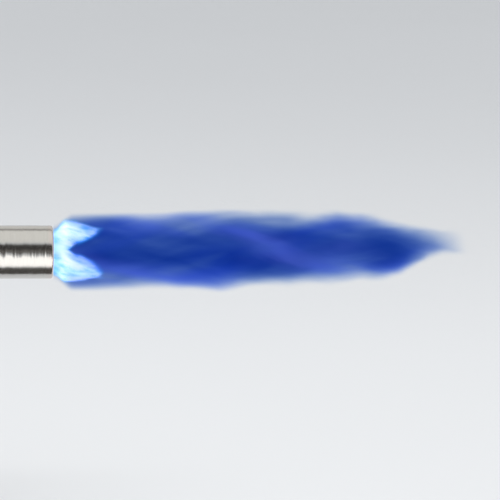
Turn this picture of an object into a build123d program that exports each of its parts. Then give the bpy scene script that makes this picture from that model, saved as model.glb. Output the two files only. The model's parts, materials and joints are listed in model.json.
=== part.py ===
from build123d import *

# Single-fuel lampwork torch on a tilting bench stand.
#
# Millimetres, +Z up. The origin is on the bench, in the middle of the four bench screws and under
# the tilt pivot. The torch lies level along X and its flame leaves towards +X. Gas comes in at
# the back, passes a needle valve and a jet, draws air in through the collar's windows, and burns
# in front of the swirler in the stainless tube. The valve is drawn fully open, the air collar
# fully open and the tilt at level.

import os
from math import cos, radians, sin

# ---------------------------------------------------------------- driving dimensions

running_gap = 0.05  # left between a piece and the one that it slides on or fits into

# Layout
axis_height = 108.0  # torch axis above the bench
pivot_height = 80.0  # tilt pivot above the bench
mouth_x = 134.0  # open end of the burner tube
valve_x = -40.0  # where the spindle axis crosses the torch axis
spindle_lean = radians(30)  # spindle leans back from upright, towards the user

# Burner tube: 7/8 inch stainless tube with a rolled-in lip
tube_radius = 11.1
tube_wall = 0.9
tube_length = 70.0
lip_turn = 1.7  # how far the lip rolls inwards
lip_depth = 1.0  # how far along the tube the roll starts
lip_thickness = 0.55

# Swirler and diffuser, pressed into the tube
swirler_back = 114.0
swirler_length = 10.0
swirler_blades = 6
swirler_twist = 40.0
diffuser_back = 78.2
diffuser_front = 108.0
throat_radius = 4.6

# Mixer and air collar
mixer_back = 22.8
bearing_back = 32.0
bearing_front = 60.0
bearing_radius = 9.8
window_x = 51.0
window_length = 13.0
window_width = 7.0
stop_x = 41.5
stop_radius = 1.25
stop_angle = 112.5  # about the torch axis, from +Y towards +Z
collar_travel = 45.0
collar_radius = 12.0
grip_radius = 13.0
grip_front = 39.0
grip_grooves = 60

# Gas stem, jet and valve
stem_radius = 6.0
stem_bore = 4.6
stem_back = -27.0
stem_front = 20.0
orifice_radius = 0.3
seat_radius = 1.2
seat_top = 2.0  # along the spindle axis, from the torch axis
needle_lift = 1.25  # one and a quarter turns of a 1 mm thread
spindle_radius = 2.5
thread_radius = 3.0
knob_radius = 14.0
knob_bottom = 36.0
knob_top = 51.0
knob_flutes = 10

# Fuel inlet: 9/16-18 male hose thread
inlet_thread_radius = 7.14
inlet_end = -84.0
inlet_thread_front = -72.2

# Cradle that clamps the stem
cradle_half = 12.0
liner_radius = 6.95
hump_radius = 10.0
flange_half_width = 16.0
flange_height = 5.5
parting_gap = 0.4
tongue_half = 7.0
tongue_radius = 11.0

# Stand
pad_thickness = 2.0
plate_length = 124.0
plate_width = 86.0
plate_thickness = 8.0
bench_hole_x = 100.0
bench_hole_y = 66.0
bench_hole_radius = 2.75
ear_thickness = 4.0
ear_radius = 13.0
yoke_length = 44.0
washer_thickness = 1.5
bolt_radius = 4.0

plate_top = pad_thickness + plate_thickness
web_top = plate_top + ear_thickness
ear_inner = tongue_half + 2 * running_gap + washer_thickness
ear_outer = ear_inner + ear_thickness

# ---------------------------------------------------------------- working lines
# A line is a plane whose x axis is the axis that pieces are turned about.

torch_line = Plane(origin=(0, 0, axis_height), x_dir=(1, 0, 0), z_dir=(0, -1, 0))
spindle_line = Plane(
    origin=(valve_x, 0, axis_height),
    x_dir=(-sin(spindle_lean), 0, cos(spindle_lean)),
    z_dir=(0, -1, 0),
)
pivot_line = Plane(origin=(0, 0, pivot_height), x_dir=(0, -1, 0), z_dir=(1, 0, 0))


def shifted(line, along=0, up=0):
    """The same line, moved along itself and along its own y axis."""
    origin = line.origin + line.x_dir * along + line.y_dir * up
    return Plane(origin=origin, x_dir=line.x_dir, z_dir=line.z_dir)


def across(line, distance, turn=0):
    """Plane square to a line, at that distance along it, facing along it and turned about it."""
    aim = line.y_dir.rotate(Axis(line.origin, line.x_dir), turn)
    return Plane(origin=line.origin + line.x_dir * distance, x_dir=aim, z_dir=line.x_dir)


def spoke(x, angle, radius):
    """Line that points straight out from the torch axis at x, starting at that radius."""
    out = Vector(0, cos(radians(angle)), sin(radians(angle)))
    sideways = Vector(1, 0, 0).cross(out)
    return Plane(origin=Vector(x, 0, axis_height) + out * radius, x_dir=out, z_dir=sideways)


def turned(line, outline, rounds=(), mode=Mode.ADD):
    """Turn a closed outline of (distance along, radius) points about a line.

    rounds lists (point, radius) for the corners of the outline that are rounded.
    """
    with BuildSketch(line) as profile:
        with BuildLine():
            Polyline(*outline, close=True)
        make_face()
        for point, radius in rounds:
            fillet(profile.vertices().sort_by_distance((*point, 0))[0], radius)
    revolve(profile.sketch, axis=Axis(line.origin, line.x_dir), mode=mode)


def bore(line, start, end, radius):
    """Round hole along a line."""
    turned(line, [(start, 0), (start, radius), (end, radius), (end, 0)], mode=Mode.SUBTRACT)


def ring(line, start, end, inner, outer):
    """Plain ring along a line."""
    turned(line, [(start, inner), (start, outer), (end, outer), (end, inner)])


def hex_bar(line, start, end, flats):
    """Hexagonal bar along a line, with its corners turned down at both ends."""
    inner = flats / 2 * 0.97
    corner = flats / 2 / cos(radians(30))
    slope = (corner - inner) * 0.6
    with BuildPart(mode=Mode.PRIVATE) as bar:
        with BuildSketch(across(line, start)):
            RegularPolygon(flats / 2, 6, major_radius=False)
        extrude(amount=end - start)
        turned(
            line,
            [
                (start, 0),
                (start, inner),
                (start + slope, corner),
                (end - slope, corner),
                (end, inner),
                (end, 0),
            ],
            mode=Mode.INTERSECT,
        )
    return bar.part


def socket_screw(line, shank, length, head, height, key):
    """Socket screw whose head seats at a line's origin, with its shank behind it."""
    point = 0.4
    with BuildPart(mode=Mode.PRIVATE) as screw:
        turned(
            line,
            [
                (-length, 0),
                (-length, shank - point),
                (point - length, shank),
                (0, shank),
                (0, head),
                (height, head),
                (height, 0),
            ],
            rounds=[((height, head), height * 0.2)],
        )
        with BuildSketch(across(line, height)):
            RegularPolygon(key / 2, 6, major_radius=False)
        extrude(amount=-height * 0.6, mode=Mode.SUBTRACT)
    return screw.part


def grub_screw(line, radius, length, key):
    """Headless socket screw whose outer end is at a line's origin."""
    edge = 0.25
    with BuildPart(mode=Mode.PRIVATE) as screw:
        turned(
            line,
            [
                (-length, 0),
                (-length, radius - edge),
                (edge - length, radius),
                (-edge, radius),
                (0, radius - edge),
                (0, 0),
            ],
        )
        with BuildSketch(across(line, 0)):
            RegularPolygon(key / 2, 6, major_radius=False)
        extrude(amount=-length * 0.4, mode=Mode.SUBTRACT)
    return screw.part


def finish(piece, name):
    """Label a finished piece and write it."""
    piece.part.label = name
    export_step(piece.part, f"parts/{name}.step")


os.makedirs("parts", exist_ok=True)


# ---------------------------------------------------------------- burner tube

tube_inner = tube_radius - tube_wall
tube_back = mouth_x - tube_length
lip_radius = tube_radius - lip_turn
tube_screw_x = tube_back + 7.0
tube_screw_angles = (30, 150, 270)
tube_screw_radius = 1.5

with BuildPart() as burner_tube:
    with BuildSketch(torch_line) as tube_profile:
        with BuildLine():
            outside = Line((tube_back, tube_radius), (mouth_x - lip_depth, tube_radius))
            EllipticalCenterArc(
                (mouth_x - lip_depth, lip_radius), lip_depth, lip_turn, start_angle=0, arc_size=90
            )
            Polyline(
                (mouth_x, lip_radius),
                (mouth_x, lip_radius - lip_thickness),
                (mouth_x - lip_depth, lip_radius - lip_thickness),
                (mouth_x - 2.5 * lip_depth, tube_inner),
                (tube_back, tube_inner),
                outside @ 0,
            )
        make_face()
    revolve(tube_profile.sketch, axis=Axis(torch_line.origin, torch_line.x_dir))
    for angle in tube_screw_angles:
        bore(spoke(tube_screw_x, angle, tube_inner), -1, 3, tube_screw_radius + running_gap)
finish(burner_tube, "burner_tube")

with BuildPart() as tube_screws:
    for angle in tube_screw_angles:
        add(grub_screw(spoke(tube_screw_x, angle, tube_radius - 0.1), tube_screw_radius, 3.4, 1.5))
finish(tube_screws, "tube_screws")

# ---------------------------------------------------------------- swirler
# Six twisted blades between a hub with a round nose and a thin outer ring.

hub_radius = 3.6
ring_inner = 9.3
blade_thickness = 1.0
swirler_front = swirler_back + swirler_length

with BuildPart() as swirler:
    ring(torch_line, swirler_back, swirler_front, ring_inner, tube_inner - running_gap)
    with BuildSketch(torch_line) as hub_profile:
        with BuildLine():
            hub_side = Line((swirler_back - 1, hub_radius), (swirler_front - 1, hub_radius))
            CenterArc((swirler_front - 1, 0), hub_radius, 0, 90)
            Polyline(
                (swirler_front - 1 + hub_radius, 0), (swirler_back - 1, 0), hub_side @ 0
            )
        make_face()
    revolve(hub_profile.sketch, axis=Axis(torch_line.origin, torch_line.x_dir))
    blade_middle = (hub_radius + ring_inner) / 2
    blade_span = ring_inner - hub_radius + 1.0
    for blade in range(swirler_blades):
        for share in (0, 0.5, 1):
            turn = 360 / swirler_blades * blade + swirler_twist * share
            with BuildSketch(across(torch_line, swirler_back + swirler_length * share, turn)):
                with Locations((blade_middle, 0)):
                    Rectangle(blade_span, blade_thickness)
        loft()
finish(swirler, "swirler")

# ---------------------------------------------------------------- diffuser
# Thin brass cone that slows the mixture down after the throat.

cone_wall = 1.0
cone_slope = (ring_inner - throat_radius) / (diffuser_front - diffuser_back)
land_back = diffuser_back + 2.3
land_front = diffuser_front - 4.0
land_radius = tube_inner - running_gap

with BuildPart() as diffuser:
    turned(
        torch_line,
        [
            (diffuser_back, throat_radius),
            (diffuser_back, land_radius),
            (land_back, land_radius),
            (land_back, throat_radius + cone_wall + cone_slope * (land_back - diffuser_back)),
            (land_front, throat_radius + cone_wall * 0.8 + cone_slope * (land_front - diffuser_back)),
            (land_front, land_radius),
            (diffuser_front, land_radius),
            (diffuser_front, ring_inner),
        ],
    )
finish(diffuser, "diffuser")

# ---------------------------------------------------------------- mixer body
# Brass. Hexagon at the back, a bearing with four air windows, a flange, and a spigot in the tube.

chamber_radius = 8.0
socket_radius = 6.5
socket_front = 33.5
flange_radius = 12.4
spigot_front = diffuser_back - 0.2
mixer_hex = 22.0
groove_x = 58.9
groove_half = 0.55
groove_radius = 8.95

with BuildPart() as mixer_body:
    turned(
        torch_line,
        [
            (bearing_back, 0),
            (bearing_back, bearing_radius),
            (groove_x - groove_half, bearing_radius),
            (groove_x - groove_half, groove_radius),
            (groove_x + groove_half, groove_radius),
            (groove_x + groove_half, bearing_radius),
            (bearing_front, bearing_radius),
            (bearing_front, flange_radius),
            (tube_back, flange_radius),
            (tube_back, tube_inner - running_gap),
            (spigot_front, tube_inner - running_gap),
            (spigot_front, 0),
        ],
        rounds=[((bearing_front, flange_radius), 0.6), ((tube_back, flange_radius), 0.6)],
    )
    add(hex_bar(torch_line, mixer_back, bearing_back, mixer_hex))
    turned(
        torch_line,
        [
            (mixer_back, 0),
            (mixer_back, socket_radius),
            (socket_front, socket_radius),
            (socket_front, chamber_radius),
            (bearing_front - 2, chamber_radius),
            (spigot_front - 6, throat_radius),
            (spigot_front, throat_radius),
            (spigot_front, 0),
        ],
        rounds=[((bearing_front - 2, chamber_radius), 6), ((spigot_front - 6, throat_radius), 8)],
        mode=Mode.SUBTRACT,
    )
    for side in ((0, 0, 1), (0, 1, 0)):
        window_plane = Plane(origin=(window_x, 0, axis_height), x_dir=(1, 0, 0), z_dir=side)
        with BuildSketch(window_plane):
            SlotOverall(window_length, window_width)
        extrude(amount=flange_radius, both=True, mode=Mode.SUBTRACT)
    bore(spoke(stop_x, stop_angle, bearing_radius), -1.6, 1, stop_radius + 0.01)
    for angle in tube_screw_angles:
        bore(spoke(tube_screw_x, angle, tube_inner), -2.6, 1, tube_screw_radius + running_gap)
finish(mixer_body, "mixer_body")

# ---------------------------------------------------------------- air collar
# Knurled sleeve that turns on the mixer and shuts its windows over 45 degrees.

collar_bore = bearing_radius + 0.08
collar_back = bearing_back + 0.3
collar_front = bearing_front - 0.3
slot_radius = stop_radius + 0.15
slot_middle = (collar_bore + collar_radius) / 2

with BuildPart() as air_collar:
    turned(
        torch_line,
        [
            (collar_back, collar_bore),
            (collar_back, grip_radius),
            (grip_front, grip_radius),
            (grip_front, collar_radius),
            (collar_front, collar_radius),
            (collar_front, collar_bore),
        ],
        rounds=[((collar_front, collar_radius), 0.6)],
    )
    for side in ((0, 0, 1), (0, 1, 0)):
        window_plane = Plane(origin=(window_x, 0, axis_height), x_dir=(1, 0, 0), z_dir=side)
        with BuildSketch(window_plane):
            SlotOverall(window_length, window_width)
        extrude(amount=grip_radius + 1, both=True, mode=Mode.SUBTRACT)
    # The stop slot runs from the pin's place back by the collar's travel.
    with BuildSketch(spoke(stop_x, stop_angle - collar_travel, 0)) as slot_profile:
        with Locations((slot_middle, 0)):
            Rectangle(grip_radius - collar_bore + 2, 2 * slot_radius)
    revolve(
        slot_profile.sketch,
        axis=Axis(torch_line.origin, torch_line.x_dir),
        revolution_arc=collar_travel,
        mode=Mode.SUBTRACT,
    )
    for angle in (stop_angle, stop_angle - collar_travel):
        bore(spoke(stop_x, angle, collar_bore), -1, 4, slot_radius)
    groove_width = 0.62
    with BuildSketch(across(torch_line, collar_back - 1)):
        with PolarLocations(grip_radius + 0.12, grip_grooves):
            Rectangle(groove_width, groove_width, rotation=45)
    extrude(amount=grip_front - collar_back + 1.4, mode=Mode.SUBTRACT)
finish(air_collar, "air_collar")

with BuildPart() as collar_stop_pin:
    add(grub_screw(spoke(stop_x, stop_angle, collar_radius - 0.2), stop_radius, 3.6, 1.3))
finish(collar_stop_pin, "collar_stop_pin")

# Split spring ring in the mixer's groove; its friction holds the collar where it is set.
wire_radius = 0.4
with BuildPart() as collar_spring_ring:
    with BuildSketch(torch_line.rotated((70, 0, 0))) as wire:
        with Locations((groove_x, collar_bore - 0.03 - wire_radius)):
            Circle(wire_radius)
    revolve(wire.sketch, axis=Axis(torch_line.origin, torch_line.x_dir), revolution_arc=335)
finish(collar_spring_ring, "collar_spring_ring")

# ---------------------------------------------------------------- jet and its holder

holder_back = 14.0
holder_front = 33.0
jet_hex_back = holder_front + 0.6
jet_front = 45.0

with BuildPart() as jet_holder:
    add(hex_bar(torch_line, holder_back, mixer_back - 0.8, 17))
    turned(
        torch_line,
        [
            (mixer_back - 1, 0),
            (mixer_back - 1, socket_radius - running_gap),
            (holder_front, socket_radius - running_gap),
            (holder_front, 0),
        ],
        rounds=[((holder_front, socket_radius - running_gap), 0.6)],
    )
    bore(torch_line, holder_back, stem_front, stem_radius + running_gap)
    bore(torch_line, stem_front, 26, 2)
    bore(torch_line, 26, holder_front, 2.95)
finish(jet_holder, "jet_holder")

with BuildPart() as holder_gasket:
    ring(torch_line, mixer_back - 0.8, mixer_back, socket_radius + 0.1, 8.3)
finish(holder_gasket, "holder_gasket")

with BuildPart() as jet:
    turned(
        torch_line,
        [
            (27, 0),
            (27, 2.9),
            (jet_hex_back + 1, 2.9),
            (38, 3.4),
            (40, 3.4),
            (jet_front, 1.8),
            (jet_front, 0),
        ],
    )
    add(hex_bar(torch_line, jet_hex_back, 38, 8))
    bore(torch_line, 27, jet_front - 1.5, 1.2)
    bore(torch_line, jet_front - 1.5, jet_front, orifice_radius)
finish(jet, "jet")

with BuildPart() as jet_gasket:
    ring(torch_line, holder_front, jet_hex_back, 3.0, 4.1)
finish(jet_gasket, "jet_gasket")

with BuildPart() as stem_tube:
    ring(torch_line, stem_back, stem_front, stem_bore, stem_radius)
finish(stem_tube, "stem_tube")

# ---------------------------------------------------------------- valve body
# Brass forging: front neck for the stem, a leaning boss for the bonnet, a rear hexagon.

neck_front = -20.0
body_radius = 11.5
boss_radius = 9.0
boss_top = 18.0
bonnet_bore = 6.0
bonnet_seat = 9.0
valve_back = -62.0
inlet_bore_front = -53.0

with BuildPart() as valve_body:
    turned(
        torch_line,
        [
            (neck_front, 0),
            (neck_front, 9),
            (-27, 9),
            (-30, body_radius),
            (-50, body_radius),
            (-54, 9),
            (-56, 9),
            (-56, 0),
        ],
        rounds=[
            ((neck_front, 9), 0.8),
            ((-27, 9), 2),
            ((-30, body_radius), 2),
            ((-50, body_radius), 2),
        ],
    )
    turned(
        spindle_line,
        [(0, 0), (0, boss_radius), (boss_top, boss_radius), (boss_top, 0)],
        rounds=[((boss_top, boss_radius), 0.8)],
    )
    add(hex_bar(torch_line, valve_back, -54, 19))
    # Gas way: inlet bore, low passage, seat, chamber, high passage, stem socket.
    bore(torch_line, valve_back, inlet_bore_front, 5.5)
    bore(shifted(torch_line, up=-3.5), inlet_bore_front, -37, 1.5)
    bore(spindle_line, -5, seat_top, seat_radius)
    bore(spindle_line, seat_top, bonnet_seat, 4.2)
    bore(spindle_line, bonnet_seat, boss_top, bonnet_bore)
    bore(shifted(torch_line, up=3.6), -39, stem_back, 1.2)
    bore(torch_line, stem_back, neck_front, stem_radius + running_gap)
finish(valve_body, "valve_body")

# ---------------------------------------------------------------- bonnet and packing

gasket_top = boss_top + 0.8
bonnet_hex_top = gasket_top + 6
bonnet_top = 30.0
packing_floor = 25.0
packing_radius = 4.0

with BuildPart() as bonnet:
    add(hex_bar(spindle_line, gasket_top, bonnet_hex_top, 15))
    turned(
        spindle_line,
        [
            (bonnet_seat + 1, 0),
            (bonnet_seat + 1, bonnet_bore - running_gap),
            (gasket_top + 1, bonnet_bore - running_gap),
            (gasket_top + 1, 5.5),
            (bonnet_top, 5.5),
            (bonnet_top, 0),
        ],
    )
    bore(spindle_line, bonnet_seat + 1, packing_floor, thread_radius + 0.06)
    bore(spindle_line, packing_floor, bonnet_top, packing_radius)
finish(bonnet, "bonnet")

with BuildPart() as bonnet_gasket:
    ring(spindle_line, boss_top, gasket_top, bonnet_bore + 0.1, 8.0)
finish(bonnet_gasket, "bonnet_gasket")

with BuildPart() as spindle_packing:
    ring(spindle_line, packing_floor, 27.6, spindle_radius + 0.06, packing_radius - 0.02)
finish(spindle_packing, "spindle_packing")

with BuildPart() as gland_ring:
    ring(spindle_line, 27.6, 30.55, spindle_radius + 0.1, packing_radius - running_gap)
finish(gland_ring, "gland_ring")

nut_bottom = 26.0
nut_top = 33.5
with BuildPart() as packing_nut:
    add(hex_bar(spindle_line, nut_bottom, nut_top, 14))
    bore(spindle_line, nut_bottom, 30.55, 5.55)
    bore(spindle_line, 30.55, nut_top, spindle_radius + 0.15)
finish(packing_nut, "packing_nut")

# ---------------------------------------------------------------- needle and spindle
# The needle hangs in the spindle's end and does not turn with it, so its cone never scores
# the seat. Shut, the cone comes down by the needle lift and its edge meets the seat.

cone_slope_needle = 0.268  # tangent of 15 degrees
tip_radius = 0.3
shut_radius = seat_radius - 0.02
tip_shut = seat_top - (shut_radius - tip_radius) / cone_slope_needle
tip = tip_shut + needle_lift
shank_radius = 1.5
neck_radius = 1.1
cone_top = tip + (shank_radius - tip_radius) / cone_slope_needle
spindle_foot = 8.5
head_bottom = 10.6
head_top = 12.5

with BuildPart() as needle:
    turned(
        spindle_line,
        [
            (tip, 0),
            (tip, tip_radius),
            (cone_top, shank_radius),
            (spindle_foot - 0.3, shank_radius),
            (spindle_foot - 0.3, neck_radius),
            (head_bottom, neck_radius),
            (head_bottom, shank_radius),
            (head_top, shank_radius),
            (head_top, 0),
        ],
    )
finish(needle, "needle")

web_bottom = 46.0
spindle_top = web_bottom - 0.1
knob_screw_seat = web_bottom + 2

with BuildPart() as spindle:
    turned(
        spindle_line,
        [
            (spindle_foot, 0),
            (spindle_foot, 2.4),
            (11, 2.4),
            (11.6, thread_radius),
            (23.4, thread_radius),
            (24, spindle_radius),
            (spindle_top, spindle_radius),
            (spindle_top, 0),
        ],
    )
    # The foot is rolled in round the needle's neck, which holds its head in the pocket.
    bore(spindle_line, spindle_foot, head_bottom - running_gap, neck_radius + 0.06)
    bore(spindle_line, head_bottom - running_gap, head_top + running_gap, shank_radius + 0.06)
    bore(spindle_line, 38, spindle_top, 1.5 + running_gap)
    # One flat on the end, so that the knob can't slip round.
    with BuildSketch(across(spindle_line, knob_bottom + 1)):
        with Locations((0, spindle_radius + 1.4)):
            Rectangle(8, 4)
    extrude(amount=12, mode=Mode.SUBTRACT)
finish(spindle, "spindle")

with BuildPart() as valve_knob:
    turned(
        spindle_line,
        [
            (knob_bottom, 0),
            (knob_bottom, 8),
            (knob_bottom + 3.5, 9),
            (knob_bottom + 4.5, knob_radius),
            (knob_top, knob_radius),
            (knob_top, 0),
        ],
        rounds=[
            ((knob_bottom, 8), 0.8),
            ((knob_bottom + 4.5, knob_radius), 0.8),
            ((knob_top, knob_radius), 2.2),
        ],
    )
    with BuildSketch(across(spindle_line, knob_bottom + 4)):
        with PolarLocations(knob_radius + 1.3, knob_flutes):
            Circle(2.8)
    extrude(amount=20, mode=Mode.SUBTRACT)
    bore(spindle_line, knob_bottom, knob_bottom + 1, spindle_radius + running_gap)
    with BuildSketch(across(spindle_line, knob_bottom + 1)):
        Circle(spindle_radius + running_gap)
        with Locations((0, spindle_radius + 1.45)):
            Rectangle(8, 4, mode=Mode.SUBTRACT)
    extrude(amount=web_bottom - knob_bottom - 1, mode=Mode.SUBTRACT)
    bore(spindle_line, web_bottom, knob_screw_seat, 1.7)
    bore(spindle_line, knob_screw_seat, knob_top - 1, 6)
    bore(spindle_line, knob_top - 1, knob_top, 8)
finish(valve_knob, "valve_knob")

with BuildPart() as knob_screw:
    add(socket_screw(shifted(spindle_line, along=knob_screw_seat), 1.5, 9, 2.8, 1.8, 2))
finish(knob_screw, "knob_screw")

with BuildPart() as knob_cap:
    turned(
        spindle_line,
        [
            (knob_top - 1, 0),
            (knob_top - 1, 8 - running_gap),
            (knob_top + 0.4, 8 - running_gap),
            (knob_top + 0.4, 6.2),
            (knob_top + 0.1, 5.8),
            (knob_top + 0.1, 0),
        ],
        rounds=[((knob_top + 0.4, 8 - running_gap), 0.35)],
    )
finish(knob_cap, "knob_cap")

# ---------------------------------------------------------------- fuel inlet

nipple_hex_front = valve_back - 0.8
nipple_hex_back = nipple_hex_front - 8
filter_back = -66.0

with BuildPart() as inlet_nipple:
    add(hex_bar(torch_line, nipple_hex_back, nipple_hex_front, 17))
    turned(
        torch_line,
        [
            (inlet_end, 0),
            (inlet_end, inlet_thread_radius - 0.8),
            (inlet_end + 0.8, inlet_thread_radius),
            (inlet_thread_front, inlet_thread_radius),
            (inlet_thread_front, 6),
            (nipple_hex_back + 1, 6),
            (nipple_hex_front - 1, 5.45),
            (inlet_bore_front - 0.5, 5.45),
            (inlet_bore_front - 0.5, 0),
        ],
    )
    bore(torch_line, filter_back, inlet_bore_front - 0.5, 3.2)
    turned(
        torch_line,
        [(inlet_end, 0), (inlet_end, 5), (inlet_end + 4.3, 2.5), (filter_back, 2.5), (filter_back, 0)],
        mode=Mode.SUBTRACT,
    )
finish(inlet_nipple, "inlet_nipple")

with BuildPart() as inlet_gasket:
    ring(torch_line, nipple_hex_front, valve_back, 5.6, 8.2)
finish(inlet_gasket, "inlet_gasket")

with BuildPart() as inlet_filter:
    turned(
        torch_line,
        [
            (filter_back + 0.1, 0),
            (filter_back + 0.1, 3.15),
            (filter_back + 9, 3.15),
            (filter_back + 9, 1.8),
            (filter_back + 2, 1.8),
            (filter_back + 2, 0),
        ],
    )
finish(inlet_filter, "inlet_filter")

# ---------------------------------------------------------------- cradle
# Two clamp halves round a lined stem; the lower one has the tongue that tilts in the yoke.

cradle_screw_x = 7.0
cradle_screw_y = 12.0
cradle_screw_radius = 2.0


def cradle_half_block(side):
    """One clamp half, above (side 1) or below (side -1) the torch axis, with no holes yet."""
    with BuildPart(mode=Mode.PRIVATE) as block:
        with BuildSketch(across(torch_line, -cradle_half)):
            Circle(hump_radius)
            Rectangle(2 * flange_height, 2 * flange_half_width)
        extrude(amount=2 * cradle_half)
        with Locations((0, 0, axis_height - side * (20 - parting_gap))):
            Box(60, 60, 40, mode=Mode.SUBTRACT)
        ends = block.faces().filter_by(Axis.X).edges()
        chamfer(ends.filter_by(lambda e: abs(e.center().Z - axis_height) > 2 * parting_gap), 0.6)
    return block.part


with BuildPart() as cradle_cap:
    add(cradle_half_block(1))
    bore(torch_line, -20, 20, liner_radius + running_gap)
    with Locations((0, 0, axis_height + flange_height)):
        with GridLocations(2 * cradle_screw_x, 2 * cradle_screw_y, 2, 2):
            Hole(cradle_screw_radius + 0.2)
finish(cradle_cap, "cradle_cap")

with BuildPart() as cradle_saddle:
    add(cradle_half_block(-1))
    with BuildSketch(Plane.XZ.offset(-tongue_half)):
        with Locations((0, pivot_height)):
            Circle(tongue_radius)
        with Locations((0, (pivot_height + axis_height - flange_height) / 2)):
            Rectangle(2 * tongue_radius, axis_height - flange_height - pivot_height)
    extrude(amount=2 * tongue_half)
    bore(torch_line, -20, 20, liner_radius + running_gap)
    bore(pivot_line, -20, 20, bolt_radius + running_gap)
    with Locations((0, 0, axis_height - parting_gap)):
        with GridLocations(2 * cradle_screw_x, 2 * cradle_screw_y, 2, 2):
            Hole(cradle_screw_radius + 0.02, depth=flange_height)
finish(cradle_saddle, "cradle_saddle")

with BuildPart() as cradle_screws:
    for x in (-cradle_screw_x, cradle_screw_x):
        for y in (-cradle_screw_y, cradle_screw_y):
            upright = Plane(
                origin=(x, y, axis_height + flange_height), x_dir=(0, 0, 1), z_dir=(0, -1, 0)
            )
            add(socket_screw(upright, cradle_screw_radius, 10, 3.4, 3.6, 3))
finish(cradle_screws, "cradle_screws")

for liner_name, liner_side in (("liner_upper", 1), ("liner_lower", -1)):
    with BuildPart() as liner:
        ring(torch_line, -cradle_half, cradle_half, stem_radius + running_gap, liner_radius)
        with Locations((0, 0, axis_height - liner_side * (20 - parting_gap / 2))):
            Box(60, 60, 40, mode=Mode.SUBTRACT)
    finish(liner, liner_name)

# ---------------------------------------------------------------- stand

with BuildPart() as base_pad:
    with BuildSketch():
        RectangleRounded(plate_length - 3, plate_width - 3, 10.5)
        with GridLocations(bench_hole_x, bench_hole_y, 2, 2):
            Circle(bench_hole_radius, mode=Mode.SUBTRACT)
    extrude(amount=pad_thickness)
finish(base_pad, "base_pad")

yoke_screw_x = 15.0
yoke_screw_radius = 2.5

with BuildPart() as base_plate:
    with BuildSketch(Plane.XY.offset(pad_thickness)):
        RectangleRounded(plate_length, plate_width, 12)
    extrude(amount=plate_thickness)
    fillet(base_plate.faces().sort_by(Axis.Z)[-1].edges(), 2.0)
    chamfer(base_plate.faces().sort_by(Axis.Z)[0].edges(), 0.6)
    with Locations((0, 0, plate_top)):
        with GridLocations(bench_hole_x, bench_hole_y, 2, 2):
            Hole(bench_hole_radius)
        with GridLocations(2 * yoke_screw_x, 0, 2, 1):
            Hole(yoke_screw_radius + 0.02, depth=plate_thickness - 1)
finish(base_plate, "base_plate")

with BuildPart() as yoke:
    with BuildSketch(Plane.XZ.offset(-ear_outer)):
        with Locations((0, pivot_height)):
            Circle(ear_radius)
        with Locations((0, plate_top + ear_thickness)):
            Rectangle(yoke_length, 2 * ear_thickness)
        make_hull()
    extrude(amount=2 * ear_outer)
    with Locations((0, 0, web_top)):
        Box(
            60,
            2 * ear_inner,
            100,
            align=(Align.CENTER, Align.CENTER, Align.MIN),
            mode=Mode.SUBTRACT,
        )
    along_x = yoke.edges().filter_by(Axis.X)
    fillet(along_x.filter_by_position(Axis.Z, web_top - 0.1, web_top + 0.1), 1.5)
    fillet(yoke.edges().filter_by(Axis.X).group_by(Axis.Z)[0], 1.5 + ear_thickness)
    bore(pivot_line, -20, 20, bolt_radius + 0.1)
    with Locations((0, 0, web_top)):
        with GridLocations(2 * yoke_screw_x, 0, 2, 1):
            Hole(yoke_screw_radius + 0.2, depth=ear_thickness)
finish(yoke, "yoke")

with BuildPart() as yoke_screws:
    for x in (-yoke_screw_x, yoke_screw_x):
        upright = Plane(origin=(x, 0, web_top), x_dir=(0, 0, 1), z_dir=(0, -1, 0))
        add(socket_screw(upright, yoke_screw_radius, ear_thickness + 6, 4.5, 2.8, 3))
finish(yoke_screws, "yoke_screws")

# ---------------------------------------------------------------- tilt pivot
# Distances run along the pivot line, from the middle of the tongue towards the thumb knob.

head_seat = -ear_outer - 1.0
bolt_end = 27.0

with BuildPart() as pivot_bolt:
    add(hex_bar(pivot_line, head_seat - 5.3, head_seat, 13))
    turned(
        pivot_line,
        [
            (head_seat - 1, 0),
            (head_seat - 1, bolt_radius),
            (bolt_end - 0.8, bolt_radius),
            (bolt_end, bolt_radius - 0.8),
            (bolt_end, 0),
        ],
    )
finish(pivot_bolt, "pivot_bolt")

with BuildPart() as bolt_washer:
    ring(pivot_line, head_seat, -ear_outer, bolt_radius + 0.2, 8)
finish(bolt_washer, "bolt_washer")

for washer_name, side in (("friction_washer_left", -1), ("friction_washer_right", 1)):
    inside = side * (tongue_half + running_gap)
    outside_face = side * (tongue_half + running_gap + washer_thickness)
    with BuildPart() as friction_washer:
        ring(pivot_line, inside, outside_face, bolt_radius + 0.15, 10.5)
    finish(friction_washer, washer_name)

pressure_back = ear_outer + running_gap
pressure_front = pressure_back + 1.6
insert_back = pressure_front + running_gap
insert_front = insert_back + 17.0
grip_back = insert_back + 3.0

with BuildPart() as pressure_washer:
    ring(pivot_line, pressure_back, pressure_front, bolt_radius + 0.1, 9)
    chamfer(pressure_washer.edges().filter_by(GeomType.CIRCLE).sort_by(SortBy.RADIUS)[-2:], 0.3)
finish(pressure_washer, "pressure_washer")

with BuildPart() as thumb_insert:
    turned(
        pivot_line,
        [
            (insert_back, 0),
            (insert_back, 6.5),
            (grip_back, 6.5),
            (grip_back, 5.5),
            (insert_front - 2, 5.5),
            (insert_front - 2, 0),
        ],
    )
    bore(pivot_line, insert_back, insert_front - 3, bolt_radius + 0.06)
finish(thumb_insert, "thumb_insert")

lobe_count = 5
lobe_radius = 6.0
lobe_circle = 12.5

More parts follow.
